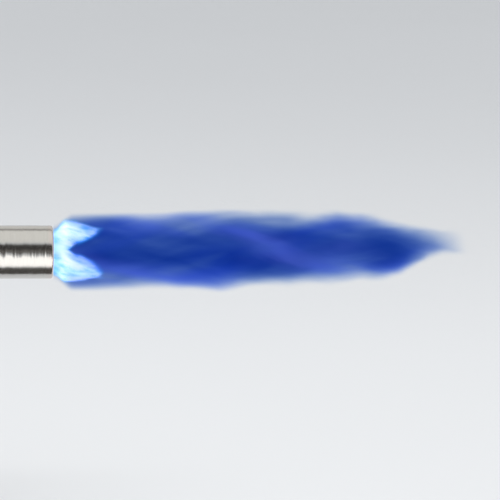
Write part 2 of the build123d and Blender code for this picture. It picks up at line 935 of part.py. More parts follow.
with BuildPart() as thumb_knob:
    with BuildSketch(across(pivot_line, grip_back + 1.5)) as star:
        Circle(lobe_circle)
        with PolarLocations(lobe_circle, lobe_count):
            Circle(lobe_radius)
        fillet(star.vertices(), 3.0)
    extrude(amount=insert_front - grip_back - 1.5)
    rims = thumb_knob.faces().filter_by(Axis.Y).edges()
    fillet(rims, 1.8)
    ring(pivot_line, grip_back, grip_back + 3, 5.4, 9)
    bore(pivot_line, grip_back, insert_front - 1.9, 5.55)
finish(thumb_knob, "thumb_knob")
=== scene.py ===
import json
import math

import bmesh
import bpy
from mathutils import Matrix, Vector


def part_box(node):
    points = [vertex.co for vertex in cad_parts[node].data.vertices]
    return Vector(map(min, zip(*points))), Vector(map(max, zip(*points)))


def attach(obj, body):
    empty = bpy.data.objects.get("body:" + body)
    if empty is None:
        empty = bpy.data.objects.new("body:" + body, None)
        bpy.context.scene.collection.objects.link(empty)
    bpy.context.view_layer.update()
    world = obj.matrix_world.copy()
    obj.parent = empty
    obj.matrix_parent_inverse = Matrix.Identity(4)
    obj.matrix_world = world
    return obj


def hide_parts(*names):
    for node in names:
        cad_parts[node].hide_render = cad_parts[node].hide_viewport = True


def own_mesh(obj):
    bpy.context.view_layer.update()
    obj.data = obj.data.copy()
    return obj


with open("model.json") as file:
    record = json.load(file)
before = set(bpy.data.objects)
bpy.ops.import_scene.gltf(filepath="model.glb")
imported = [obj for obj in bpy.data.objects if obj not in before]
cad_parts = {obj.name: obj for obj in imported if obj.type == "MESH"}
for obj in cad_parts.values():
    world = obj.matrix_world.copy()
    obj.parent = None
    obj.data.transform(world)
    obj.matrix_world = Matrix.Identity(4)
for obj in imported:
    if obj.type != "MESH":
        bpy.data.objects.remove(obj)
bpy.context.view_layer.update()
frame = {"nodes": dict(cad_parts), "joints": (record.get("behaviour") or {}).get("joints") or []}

bl_info = {
    "name": "Lampwork Torch",
    "version": (1, 0, 0),
    "blender": (4, 5, 0),
    "location": "View3D > Sidebar > Torch",
    "description": "Gives a bench lampworking torch its turned, threaded and moulded pieces and finishes",
    "category": "Object",
}

MM = 0.001

# ------------------------------------------------------------------ places, from the frame


def low(node):
    """Lowest corner of a node."""
    return Vector(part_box(node)[0])


def high(node):
    """Highest corner of a node."""
    return Vector(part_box(node)[1])


def middle(node):
    """Middle of a node's box."""
    return (low(node) + high(node)) / 2


JOINTS = {joint["name"]: joint for joint in frame["joints"]}
TORCH_HEIGHT = middle("burner_tube").z
TUBE_RADIUS = (high("burner_tube").y - low("burner_tube").y) / 2
TUBE_BACK = low("burner_tube").x
MOUTH = high("burner_tube").x
VALVE_CENTRE = Vector(JOINTS["valve_knob_turn"]["pos_m"])
SPINDLE_AIM = Vector(JOINTS["valve_knob_turn"]["axis"]).normalized()
PIVOT_HEIGHT = JOINTS["tilt"]["pos_m"][2]


def line(origin, aim, side=(0, 1, 0)):
    """Matrix whose X axis is a line that pieces are turned about; its Y axis is near side."""
    x = Vector(aim).normalized()
    side = Vector(side)
    if abs(x.dot(side)) > 0.9 * side.length:
        side = Vector((1, 0, 0))
    z = x.cross(side).normalized()
    y = z.cross(x)
    matrix = Matrix((x, y, z)).transposed().to_4x4()
    matrix.translation = origin
    return matrix


TORCH_LINE = line((0, 0, TORCH_HEIGHT), (1, 0, 0))
SPINDLE_LINE = line(VALVE_CENTRE, SPINDLE_AIM)
CLAMP_LINE = line((middle("pivot_bolt").x, 0, PIVOT_HEIGHT), (0, -1, 0), (0, 0, 1))
# Lays a piece that is built up +Z along a line's X axis.
Z_TO_X = Matrix.Rotation(math.radians(90), 4, "Y")

# ------------------------------------------------------------------ node trees


class Tree:
    """A node tree that is written from Python."""

    def __init__(self, tree):
        self.tree = tree

    def node(self, kind, settings=None, inputs=None):
        """Add a node: its settings first, then the values or links of its inputs."""
        made = self.tree.nodes.new(kind)
        for name, setting in (settings or {}).items():
            setattr(made, name, setting)
        for name, given in (inputs or {}).items():
            self.feed(made.inputs[name], given)
        return made

    def feed(self, socket, given):
        """Link an input or set its value."""
        if isinstance(given, Value):
            given = given.socket
        if isinstance(given, bpy.types.NodeSocket):
            self.tree.links.new(given, socket)
        else:
            socket.default_value = given

    def value(self, kind, settings=None, inputs=None, output=0):
        """Add a node and wrap one of its outputs."""
        return Value(self, self.node(kind, settings, inputs).outputs[output])

    def mix(self, share, first, second):
        """First colour where share is 0, second where it is 1."""
        settings = {"data_type": "RGBA", "clamp_factor": True}
        mixer = self.node("ShaderNodeMix", settings)
        self.feed(mixer.inputs[0], share)
        self.feed(mixer.inputs[6], first)
        self.feed(mixer.inputs[7], second)
        return Value(self, mixer.outputs[2])

    def vector(self, operation, *given):
        """Vector Math on vectors."""
        return self.value("ShaderNodeVectorMath", {"operation": operation}, dict(enumerate(given)))

    def scaled(self, vector, factor):
        """A vector times a number."""
        inputs = {0: vector, "Scale": factor}
        return self.value("ShaderNodeVectorMath", {"operation": "SCALE"}, inputs)

    def parts(self, vector):
        """The three numbers of a vector."""
        split = self.node("ShaderNodeSeparateXYZ", inputs={0: vector})
        return [Value(self, output) for output in split.outputs]


class Value:
    """A socket whose maths is written as Python expressions."""

    def __init__(self, tree, socket):
        self.tree = tree
        self.socket = socket

    def math(self, operation, *others):
        """A Math node on this value and others."""
        inputs = dict(enumerate((self, *others)))
        return self.tree.value("ShaderNodeMath", {"operation": operation}, inputs)

    def reflected(self, operation, other):
        """A Math node with this value second."""
        return self.tree.value("ShaderNodeMath", {"operation": operation}, {0: other, 1: self})

    def __add__(self, other):
        return self.math("ADD", other)

    def __sub__(self, other):
        return self.math("SUBTRACT", other)

    def __mul__(self, other):
        return self.math("MULTIPLY", other)

    def __truediv__(self, other):
        return self.math("DIVIDE", other)

    def __rsub__(self, other):
        return self.reflected("SUBTRACT", other)

    def __rtruediv__(self, other):
        return self.reflected("DIVIDE", other)

    def __neg__(self):
        return self.math("MULTIPLY", -1.0)

    __radd__ = __add__
    __rmul__ = __mul__

    def ramp(self, start, end, low=0.0, high=1.0):
        """Smooth step: low at start and before, high at end and after."""
        inputs = {0: self, 1: start, 2: end, 3: low, 4: high}
        settings = {"interpolation_type": "SMOOTHSTEP", "clamp": True}
        return self.tree.value("ShaderNodeMapRange", settings, inputs)


class Finish(Tree):
    """A material whose patterns read Object coordinates, in metres in the frame."""

    def __init__(self, name):
        self.material = bpy.data.materials.new(name)
        self.material.use_nodes = True
        super().__init__(self.material.node_tree)
        self.shader = self.tree.nodes["Principled BSDF"]
        self.place = self.value("ShaderNodeTexCoord", output="Object")

    def moved(self, scale, origin=(0, 0, 0), turn=(0, 0, 0)):
        """Object coordinates about an origin, turned, then scaled along each axis."""
        place = self.vector("SUBTRACT", self.place, origin)
        if any(turn):
            place = self.value("ShaderNodeMapping", inputs={"Vector": place, "Rotation": turn})
        return self.vector("MULTIPLY", place, scale)

    def noise(self, place, scale=1.0, detail=2.0, roughness=0.5, distortion=0.0):
        """Noise from 0 to 1."""
        inputs = {
            "Vector": place,
            "Scale": scale,
            "Detail": detail,
            "Roughness": roughness,
            "Distortion": distortion,
        }
        return self.value("ShaderNodeTexNoise", inputs=inputs)

    def cells(self, place, scale, feature="F1", output="Distance"):
        """Voronoi cells, scale of them per metre."""
        inputs = {"Vector": place, "Scale": scale}
        return self.value("ShaderNodeTexVoronoi", {"feature": feature}, inputs, output)

    def bump(self, height, distance, strength=1.0, normal=None):
        """Surface relief; distance is the relief's depth in metres."""
        inputs = {"Height": height, "Distance": distance, "Strength": strength}
        if normal is not None:
            inputs["Normal"] = normal
        return self.value("ShaderNodeBump", inputs=inputs)

    def streaks(self, aim, across, along, detail=3.0):
        """Noise drawn out round a line, with marks per metre across the marks and along them."""
        turn = line((0, 0, 0), aim).to_3x3().inverted().to_euler()
        place = self.moved((across, along, along), turn=turn)
        return self.noise(place, detail=detail, roughness=0.65)

    def finished(self, **sockets):
        """Set or link the shader's inputs, with underscores for the spaces in their names."""
        for name, given in sockets.items():
            self.feed(self.shader.inputs[name.replace("_", " ")], given)
        return self.material


def rgb(colour):
    """A colour property as the four numbers that a socket takes."""
    return (*colour[:3], 1.0)


def tint(colour, factor):
    """A colour made lighter or darker."""
    return (*[min(part * factor, 1.0) for part in colour[:3]], 1.0)


# ------------------------------------------------------------------ finishes


def brushed_tube_steel(colours):
    """Stainless brushed round the tube: fine rings that pull each reflection out along it."""
    f = Finish("brushed tube steel")
    fine = f.streaks((1, 0, 0), 5200, 26, 4.0)
    broad = f.streaks((1, 0, 0), 1800, 30, 1.0)
    x, _, z = f.parts(f.place)
    heat = (MOUTH - x).ramp(0.0006, 0.0032, 1.0, 0.0) * 0.22
    smudge = f.noise(f.place, 55.0, 3.0).ramp(0.45, 0.7)
    base = f.mix(fine.ramp(0.25, 0.75), tint(colours.steel, 0.93), tint(colours.steel, 1.05))
    warmed = f.mix(heat, base, (0.78, 0.56, 0.50, 1.0))
    # The rings lean the surface a little round the tube, most along its sides, which frays the
    # edges of reflections.
    normal = f.value("ShaderNodeNewGeometry", output="Normal")
    round_way = f.vector("CROSS_PRODUCT", (1.0, 0.0, 0.0), normal)
    depth = (z - TORCH_HEIGHT + 0.0003).math("ABSOLUTE").ramp(0.0012, 0.0042, 0.46, 0.12)
    lean = f.scaled(round_way, (broad - 0.5) * depth + (fine - 0.5) * 0.12)
    leaned = f.vector("NORMALIZE", f.vector("ADD", normal, lean))
    relief = f.bump(fine, 0.000012, 0.7, leaned)
    rough = fine.ramp(0.2, 0.8, 0.15, 0.25) + smudge * 0.05
    return f.finished(Base_Color=warmed, Metallic=1.0, Roughness=rough, Normal=relief)


def turned_metal(name, colour, aim, polish=0.24, stain=None, marks=3200.0):
    """Metal turned on a lathe about a line: rings, faint stains and a few finger marks."""
    f = Finish(name)
    rings = f.streaks(aim, marks, 20, 3.0)
    patch = f.noise(f.place, 70.0, 4.0, 0.6)
    prints = f.noise(f.place, 210.0, 2.0, 0.5, 1.2).ramp(0.52, 0.7)
    dull = stain or tint(colour, 0.72)
    base = f.mix(patch.ramp(0.42, 0.74) * 0.7, rgb(colour), dull)
    base = f.mix(rings.ramp(0.3, 0.7) * 0.25, base, tint(colour, 1.12))
    rough = patch.ramp(0.3, 0.7, polish, polish + 0.1) + prints * 0.06
    return f.finished(Base_Color=base, Metallic=1.0, Roughness=rough, Normal=f.bump(rings, 0.000012, 0.6))


def satin_nickel(colours):
    """Nickel plate on the air collar, satin, with patches here and there rubbed towards the brass below."""
    f = Finish("satin nickel")
    rings = f.streaks((1, 0, 0), 2600, 15, 3.0)
    grain = f.noise(f.place, 4200.0, 2.0)
    wear = f.noise(f.place, 240.0, 5.0, 0.7).ramp(0.6, 0.72) * 0.35
    base = f.mix(wear, rgb(colours.nickel), tint(colours.brass, 0.9))
    base = f.mix(f.noise(f.place, 60.0, 3.0).ramp(0.4, 0.7) * 0.3, base, tint(colours.nickel, 0.8))
    rough = rings.ramp(0.3, 0.7, 0.2, 0.3)
    return f.finished(
        Base_Color=base,
        Metallic=1.0,
        Roughness=rough,
        Normal=f.bump(rings * 0.7 + grain * 0.3, 0.00001, 0.6),
    )


def blasted_aluminium(colours):
    """Bead-blasted, clear anodised aluminium."""
    f = Finish("blasted aluminium")
    beads = f.cells(f.place, 3800.0, "SMOOTH_F1")
    cloud = f.noise(f.place, 90.0, 4.0, 0.6)
    scuffs = f.noise(f.moved((900, 900, 60)), 1.0, 3.0, 0.6).ramp(0.66, 0.74)
    base = f.mix(cloud.ramp(0.35, 0.7), rgb(colours.aluminium), tint(colours.aluminium, 0.86))
    base = f.mix(scuffs * 0.4, base, tint(colours.aluminium, 1.2))
    rough = beads.ramp(0.1, 0.7, 0.36, 0.46) - scuffs * 0.08
    return f.finished(Base_Color=base, Metallic=1.0, Roughness=rough, Normal=f.bump(beads, 0.00003, 0.7))


def powder_coat(colours):
    """Fine-textured dark powder coat with a slight orange peel and patches of dust."""
    f = Finish("powder coat")
    peel = f.noise(f.place, 900.0, 3.0, 0.55)
    grit = f.cells(f.place, 2600.0, "SMOOTH_F1")
    dust = f.noise(f.place, 38.0, 5.0, 0.62).ramp(0.48, 0.75)
    speck = f.noise(f.place, 3100.0, 1.0).ramp(0.68, 0.74)
    base = f.mix(dust * 0.35, rgb(colours.coat), tint(colours.coat, 2.2))
    base = f.mix(speck * 0.5, base, tint(colours.coat, 3.2))
    height = peel * 0.65 + grit * 0.35
    rough = dust * 0.1 + peel.ramp(0.3, 0.7, 0.4, 0.52)
    return f.finished(Base_Color=base, Roughness=rough, Normal=f.bump(height, 0.00009, 0.8))


def moulded_phenolic(colours):
    """Red moulded phenolic: glossy, with faint flow marks and fine wear."""
    f = Finish("moulded phenolic")
    flow = f.noise(f.place, 75.0, 4.0, 0.6, 1.6)
    scratch = f.noise(f.moved((2600, 90, 90), turn=(0.3, 0.9, 0.4)), 1.0, 2.0).ramp(0.68, 0.76)
    dust = f.noise(f.place, 1500.0, 2.0).ramp(0.66, 0.76)
    base = f.mix(flow.ramp(0.3, 0.75), rgb(colours.knob), tint(colours.knob, 0.62))
    base = f.mix(dust * 0.16, base, (0.75, 0.6, 0.55, 1.0))
    rough = flow.ramp(0.3, 0.7, 0.2, 0.3) + scratch * 0.25
    height = flow * 0.8 - scratch * 0.4
    return f.finished(
        Base_Color=base,
        Roughness=rough,
        Coat_Weight=0.25,
        Coat_Roughness=0.12,
        Normal=f.bump(height, 0.00005, 0.35),
    )


def grained_plastic(name, colour, grain=2300.0):
    """Moulded plastic with a spark-eroded grain, shinier where hands rub it."""
    f = Finish(name)
    pebbles = f.cells(f.place, grain, "SMOOTH_F1")
    rubbed = f.noise(f.place, 85.0, 3.0).ramp(0.45, 0.7)
    dust = f.noise(f.place, 700.0, 4.0, 0.7).ramp(0.55, 0.8)
    base = f.mix(dust * 0.3, rgb(colour), tint(colour, 3.0))
    rough = rubbed.ramp(0.0, 1.0, 0.52, 0.36)
    return f.finished(Base_Color=base, Roughness=rough, Normal=f.bump(pebbles, 0.00006, 0.75))


def zinc_plate(colours):
    """Bright zinc plate, with the faint blue and straw bloom of its passivation."""
    f = Finish("zinc plate")
    bloom = f.noise(f.place, 120.0, 3.0, 0.6, 0.8)
    fleck = f.parts(f.cells(f.place, 900.0, output="Color"))[0]
    base = f.mix(bloom.ramp(0.35, 0.65), tint(colours.zinc, 0.95), (0.72, 0.66, 0.52, 1.0))
    base = f.mix(f.noise(f.place, 170.0, 3.0).ramp(0.5, 0.7) * 0.5, base, (0.5, 0.58, 0.72, 1.0))
    rough = fleck * 0.08 + 0.22
    return f.finished(Base_Color=base, Metallic=1.0, Roughness=rough, Normal=f.bump(fleck, 0.000004, 0.5))


def black_oxide(colours):
    """Oiled black oxide on steel screws, rubbed brighter in places."""
    f = Finish("black oxide")
    rub = f.noise(f.place, 520.0, 4.0, 0.65).ramp(0.58, 0.74)
    grain = f.noise(f.place, 2600.0, 2.0)
    base = f.mix(rub * 0.6, rgb(colours.oxide), (0.22, 0.21, 0.2, 1.0))
    rough = grain.ramp(0.3, 0.7, 0.26, 0.4) - rub * 0.08
    return f.finished(Base_Color=base, Metallic=0.85, Roughness=rough, Normal=f.bump(grain, 0.00002, 0.5))


def vulcanised_fibre(colours):
    """Pressed red-brown fibre sheet."""
    f = Finish("vulcanised fibre")
    fibres = f.noise(f.moved((420, 2200, 420)), 1.0, 5.0, 0.7, 0.6)
    base = f.mix(fibres.ramp(0.3, 0.7), tint(colours.fibre, 0.7), tint(colours.fibre, 1.35))
    rough = fibres.ramp(0.3, 0.7, 0.6, 0.75)
    return f.finished(Base_Color=base, Roughness=rough, Normal=f.bump(fibres, 0.00008, 0.8))


def cork_rubber(colours):
    """Cork granules bound in dark rubber."""
    f = Finish("cork rubber")
    granules = 620.0
    warp = f.value(
        "ShaderNodeTexNoise", inputs={"Vector": f.place, "Scale": 500.0}, output="Color"
    )
    warped = f.vector("ADD", f.place, f.scaled(warp, 0.0006))
    shade, kind, _ = f.parts(f.cells(warped, granules, output="Color"))
    edge = f.cells(warped, granules, "DISTANCE_TO_EDGE").ramp(0.02, 0.09)
    cork = f.mix(shade, tint(colours.cork, 0.55), tint(colours.cork, 1.5))
    binder = tint(colours.cork, 0.12)
    is_cork = kind.ramp(0.3, 0.35) * edge
    base = f.mix(is_cork, binder, cork)
    return f.finished(
        Base_Color=base,
        Roughness=is_cork.ramp(0.0, 1.0, 0.55, 0.85),
        Normal=f.bump(is_cork, 0.0001, 0.7),
    )


def soft_copper(colours):
    """Annealed copper gasket, with its heat tint."""
    f = Finish("soft copper")
    heat = f.noise(f.place, 300.0, 3.0, 0.6)
    base = f.mix(heat.ramp(0.35, 0.7), rgb(colours.copper), (0.42, 0.2, 0.16, 1.0))
    rough = heat.ramp(0.3, 0.7, 0.28, 0.42)
    return f.finished(Base_Color=base, Metallic=1.0, Roughness=rough, Normal=f.bump(heat, 0.00002, 0.5))


def sintered_bronze(colours):
    """Bronze beads sintered into a filter."""
    f = Finish("sintered bronze")
    beads = f.cells(f.place, 3300.0, "SMOOTH_F1")
    # The bronze is painted darker in the gaps between the beads: painted shade in the crevices.
    base = f.mix(beads.ramp(0.1, 0.6), tint(colours.brass, 0.75), tint(colours.brass, 0.3))
    return f.finished(
        Base_Color=base,
        Metallic=1.0,
        Roughness=beads.ramp(0.1, 0.6, 0.4, 0.7),
        Normal=f.bump(1.0 - beads, 0.00012, 0.9),
    )


def turned_ptfe():
    """White PTFE with its turning marks."""
    f = Finish("turned ptfe")
    rings = f.streaks(SPINDLE_AIM, 2500, 20)
    base = f.mix(rings, (0.80, 0.80, 0.77, 1.0), (0.90, 0.90, 0.88, 1.0))
    rough = rings.ramp(0.3, 0.7, 0.4, 0.5)
    return f.finished(Base_Color=base, Roughness=rough, Normal=f.bump(rings, 0.00002, 0.4))


def fired_steel(colours):
    """The swirler's steel, straw to blue where the flame has heated it."""
    f = Finish("fired steel")
    x = f.parts(f.place)[0]
    front = high("swirler").x
    hot = (x + (f.noise(f.place, 260.0, 3.0) - 0.5) * 0.006).ramp(front - 0.013, front)
    base = f.mix(hot.ramp(0.1, 0.5), tint(colours.steel, 0.8), (0.62, 0.44, 0.22, 1.0))
    base = f.mix(hot.ramp(0.45, 0.8), base, (0.30, 0.22, 0.36, 1.0))
    base = f.mix(hot.ramp(0.75, 1.0), base, (0.16, 0.24, 0.42, 1.0))
    grain = f.noise(f.place, 1800.0, 3.0)
    rough = grain.ramp(0.3, 0.7, 0.28, 0.4)
    return f.finished(Base_Color=base, Metallic=1.0, Roughness=rough, Normal=f.bump(grain, 0.00003, 0.5))


def silver_braze():
    """Silver brazing alloy, slightly yellow and rippled."""
    f = Finish("silver braze")
    ripple = f.noise(f.moved((700, 260, 260)), 1.0, 3.0)
    base = f.mix(ripple.ramp(0.3, 0.7), (0.70, 0.62, 0.46, 1.0), (0.52, 0.43, 0.30, 1.0))
    rough = ripple.ramp(0.3, 0.7, 0.26, 0.4)
    return f.finished(Base_Color=base, Metallic=1.0, Roughness=rough, Normal=f.bump(ripple, 0.00008, 0.7))


FINISHES = {}


def finish(name):
    """A finish by name, made once."""
    if not FINISHES:
        colours = bpy.context.scene.torch_colours
        x_way = (1, 0, 0)
        y_way = (0, 1, 0)
        bronzed = tint(colours.brass, 0.55)
        FINISHES.update({
            "tube steel": brushed_tube_steel(colours),
            "drawn steel": turned_metal("drawn steel", colours.steel, x_way, 0.2, marks=1500.0),
            "spindle steel": turned_metal("spindle steel", colours.steel, SPINDLE_AIM, 0.16),
            "brass": turned_metal("turned brass", colours.brass, x_way, 0.22, bronzed),
            "spindle brass": turned_metal("turned brass bonnet", colours.brass, SPINDLE_AIM, 0.2, bronzed),
            "clamp brass": turned_metal("turned brass insert", colours.brass, y_way, 0.2, bronzed),
            "nickel": satin_nickel(colours),
            "aluminium": blasted_aluminium(colours),
            "powder coat": powder_coat(colours),
            "red knob": moulded_phenolic(colours),
            "black knob": grained_plastic("black knob plastic", colours.black),
            "knob cap": grained_plastic("knob cap plastic", tint(colours.black, 1.4), 3600.0),
            "zinc": zinc_plate(colours),
            "oxide": black_oxide(colours),
            "fibre": vulcanised_fibre(colours),
            "cork": cork_rubber(colours),
            "copper": soft_copper(colours),
            "sinter": sintered_bronze(colours),
            "ptfe": turned_ptfe(),
            "fired steel": fired_steel(colours),
            "braze": silver_braze(),
        })
    return FINISHES[name]


CARRIED_FINISHES = {
    "drawn steel": ["stem_tube", "collar_stop_pin", "collar_spring_ring", "tube_screws"],
    "spindle steel": ["needle", "spindle"],
    "brass": ["mixer_body", "valve_body", "jet_holder", "jet", "diffuser"],
    "spindle brass": ["gland_ring", "packing_nut"],
    "clamp brass": ["thumb_insert"],
    "nickel": ["air_collar"],
    "aluminium": ["cradle_cap", "cradle_saddle"],
    "powder coat": ["base_plate", "yoke"],
    "knob cap": ["knob_cap"],
    "zinc": ["pivot_bolt", "bolt_washer", "pressure_washer", "knob_screw"],
    "fibre": ["liner_upper", "liner_lower", "friction_washer_left", "friction_washer_right"],
    "cork": ["base_pad"],
    "copper": ["holder_gasket", "jet_gasket", "bonnet_gasket", "inlet_gasket"],
    "sinter": ["inlet_filter"],
    "ptfe": ["spindle_packing"],
}

# ------------------------------------------------------------------ meshes

ON_AXIS = 1e-6  # radius of an outline's point on the axis, where its ring becomes one point
BEYOND_REACH = 1.0  # radius of a point that only the reach limits


def link(name, mesh, material=None):
    """An object at the origin with that mesh."""
    made = bpy.data.objects.new(name, mesh)
    bpy.context.scene.collection.objects.link(made)
    if material:
        mesh.materials.append(material)
    return made


def soften(mesh, angle=32.0, merge=1e-6):
    """Smooth shading, with edges sharper than the angle left crisp. Points within merge join."""
    bm = bmesh.new()
    bm.from_mesh(mesh)
    bmesh.ops.remove_doubles(bm, verts=bm.verts, dist=merge)
    bmesh.ops.recalc_face_normals(bm, faces=bm.faces)
    limit = math.radians(angle)
    for face in bm.faces:
        face.smooth = True
    for edge in bm.edges:
        edge.smooth = not (edge.is_manifold and edge.calc_face_angle() > limit)
    bm.to_mesh(mesh)
    bm.free()


def arc(centre, radius, start, end, steps):
    """Points of an arc, in degrees, in an outline's (along, radius) plane."""
    points = []
    for step in range(steps + 1):
        angle = math.radians(start + (end - start) * step / steps)
        points.append((centre[0] + radius * math.cos(angle), centre[1] + radius * math.sin(angle)))
    return points


def hexagon(flats):
    """Reach of a hexagon at an angle in degrees."""

    def reach(angle):
        off = (angle + 30.0) % 60.0 - 30.0
        return flats / 2 / math.cos(math.radians(off))

    return reach


def hexagon_stretch(flats, back, front, steps=5):
    """The points of an outline over a hexagon whose two ends are bevelled."""
    corner = flats / 2 / math.cos(math.radians(30))
    inner = flats / 2 * 0.97
    slope = (corner - inner) * 0.6
    bevel = [
        (slope * step / steps, inner + (corner - inner) * step / steps) for step in range(steps + 1)
    ]
    points = [(back + along, radius) for along, radius in bevel]
    return points + [(front - along, radius) for along, radius in reversed(bevel)]


def rounded_rim(along, radius, start, end, steps):
    """Points of a rim that follows a knob's reach and is rounded off from it."""
    return [(a, BEYOND_REACH, -r) for a, r in arc((along, -radius), radius, start, end, steps)]


def turn_outline(name, where, outline, material, reach=None, segments=96, closed=False):
    """Turn an outline of (along, radius), in metres, about a line.

    reach limits the radius at each angle, less a point's third number if it has one. A closed
    outline goes round a bore and ends where it starts. An open one starts and ends ON_AXIS, or
    where a sheet ends.
    """
    rows = []
    for along, radius, *inset in outline:
        row = []
        for step in range(segments):
            angle = 360.0 * step / segments
            out = min(radius, reach(angle) - sum(inset)) if reach else radius
            way = math.radians(angle)
            row.append(where @ Vector((along, out * math.cos(way), out * math.sin(way))))
        rows.append(row)
    pairs = list(zip(range(len(rows) - 1), range(1, len(rows))))
    if closed:
        pairs.append((len(rows) - 1, 0))
    faces = []
    for first, second in pairs:
        for step in range(segments):
            ahead = (step + 1) % segments
            faces.append((
                first * segments + step,
                first * segments + ahead,
                second * segments + ahead,
                second * segments + step,
            ))
    mesh = bpy.data.meshes.new(name)
    mesh.from_pydata([point for row in rows for point in row], [], faces)
    soften(mesh, merge=3 * ON_AXIS)
    return link(name, mesh, material)


def joined(name, pieces):
    """Several objects as one mesh, with a slot for each of their materials."""
    bm = bmesh.new()
    materials = []
    for piece in pieces:
        mesh = piece.data
        start = len(bm.faces)
        bm.from_mesh(mesh)
        bm.faces.ensure_lookup_table()
        for material in mesh.materials:
            if material not in materials:
                materials.append(material)
        places = [materials.index(material) for material in mesh.materials]
        for face in bm.faces[start:]:
            face.material_index = places[face.material_index]
    mesh = bpy.data.meshes.new(name)
    bm.to_mesh(mesh)
    bm.free()
    for material in materials:
        mesh.materials.append(material)
    for piece in pieces:
        bpy.data.objects.remove(piece)
    return link(name, mesh)


def evaluated(made, name):
    """An object's mesh with its modifiers applied, as a plain mesh of its own."""
    bpy.context.view_layer.update()
    seen = made.evaluated_get(bpy.context.evaluated_depsgraph_get())
    mesh = bpy.data.meshes.new_from_object(seen)
    mesh.name = name
    bpy.data.objects.remove(made)
    return link(name, mesh)


def place_mesh(made, matrix):
    """Move an object's mesh, and leave the object at the origin."""
    made.data.transform(matrix)


def drilled(made, holes):
    """Cut holes out of a mesh. Each hole is (start, end, radius), in metres."""
    bm = bmesh.new()
    for start, end, radius in holes:
        way = end - start
        matrix = way.to_track_quat("Z", "Y").to_matrix().to_4x4()
        matrix.translation = (start + end) / 2
        bmesh.ops.create_cone(
            bm,
            cap_ends=True,
            segments=32,
            radius1=radius,
            radius2=radius,
            depth=way.length,
            matrix=matrix,
        )
    cutter_mesh = bpy.data.meshes.new("drill")
    bm.to_mesh(cutter_mesh)
    bm.free()
    cutter = link("drill", cutter_mesh)
    cut = made.modifiers.new("holes", "BOOLEAN")
    cut.object = cutter
    cut.solver = "EXACT"
    result = evaluated(made, made.name)
    bpy.data.objects.remove(cutter)
    soften(result.data)
    return result


# ------------------------------------------------------------------ geometry nodes


class Shape(Tree):
    """A Geometry Nodes tree with named inputs."""

    def __init__(self, name, material):
        super().__init__(bpy.data.node_groups.new(name, "GeometryNodeTree"))
        self.material = material
        self.tree.interface.new_socket("Geometry", in_out="INPUT", socket_type="NodeSocketGeometry")
        self.tree.interface.new_socket("Geometry", in_out="OUTPUT", socket_type="NodeSocketGeometry")
        self.entry = self.tree.nodes.new("NodeGroupInput")
        self.sizes = {}

    def size(self, name, amount, kind="NodeSocketFloat"):
        """A named input with its value."""
        item = self.tree.interface.new_socket(name, in_out="INPUT", socket_type=kind)
        item.default_value = amount
        self.sizes[item.identifier] = amount
        return Value(self, self.entry.outputs[name])

    def geometry(self, kind, settings=None, inputs=None):
        """Add a node and return its first output socket."""
        return self.node(kind, settings, inputs).outputs[0]

    def join(self, *given):
        """Several geometries as one."""
        joiner = self.node("GeometryNodeJoinGeometry")
        for geometry in given:
            self.tree.links.new(geometry, joiner.inputs[0])
        return joiner.outputs[0]

    def copies(self, points, instance, rotation=None):
        """The instance on each point."""
        inputs = {"Points": points, "Instance": instance}
        if rotation is not None:
            inputs["Rotation"] = rotation
        return self.geometry("GeometryNodeInstanceOnPoints", inputs=inputs)

    def build(self, name, geometry, points=((0, 0, 0),)):
        """Finish the tree and make its result a plain mesh object. points are the base mesh's."""
        real = self.geometry("GeometryNodeRealizeInstances", inputs={0: geometry})
        inputs = {"Geometry": real, "Material": self.material}
        coated = self.geometry("GeometryNodeSetMaterial", inputs=inputs)
        leave = self.tree.nodes.new("NodeGroupOutput")
        self.tree.links.new(coated, leave.inputs[0])
        base = bpy.data.meshes.new(name)
        base.from_pydata(points, [], [])
        made = link(name, base)
        modifier = made.modifiers.new(name, "NODES")
        modifier.node_group = self.tree
        for identifier, amount in self.sizes.items():
            modifier[identifier] = amount
        return evaluated(made, name)


def thread_ridge(name, material, radius, pitch, length, depth):
    """The ridge of a screw thread along +Z from the origin, as a closed helical strip."""
    shape = Shape(name + " thread", material)
    crest = shape.size("Crest Radius", radius)
    step = shape.size("Pitch", pitch)
    run = shape.size("Length", length)
    tall = shape.size("Depth", depth)
    turns = run / step
    spiral = shape.geometry(
        "GeometryNodeCurveSpiral",
        inputs={
            "Resolution": 48,
            "Rotations": turns,
            "Start Radius": crest - tall,
            "End Radius": crest - tall,
            "Height": run,
        },
    )
    steady = shape.geometry("GeometryNodeSetCurveNormal", {"mode": "Z_UP"}, {"Curve": spiral})
    profile = shape.node("GeometryNodeCurvePrimitiveQuadrilateral", {"mode": "POINTS"})
    half = step * 0.47
    flat = step * 0.07
    sunk = tall * -0.35
    # The profile's X points towards the axis.
    corners = ((tall, flat), (tall, -flat), (sunk, -half), (sunk, half))
    for number, (out, along) in enumerate(corners):
        corner = shape.value("ShaderNodeCombineXYZ", inputs={0: -out, 1: along})
        shape.feed(profile.inputs["Point " + str(number + 1)], corner)
    # The ridge swells from nothing over its first turn and sinks away over its last.
    share = shape.value("GeometryNodeSplineParameter")
    first = 1.0 / turns
    grown = (share / first).math("MINIMUM", 1.0) * ((1.0 - share) / first).math("MINIMUM", 1.0)
    swollen = shape.geometry(
        "GeometryNodeSetCurveRadius", inputs={"Curve": steady, "Radius": grown * 0.85 + 0.15}
    )
    ridge = shape.geometry(
        "GeometryNodeCurveToMesh",
        inputs={"Curve": swollen, "Profile Curve": profile.outputs[0], "Fill Caps": True},
    )
    return shape.build(name, ridge)


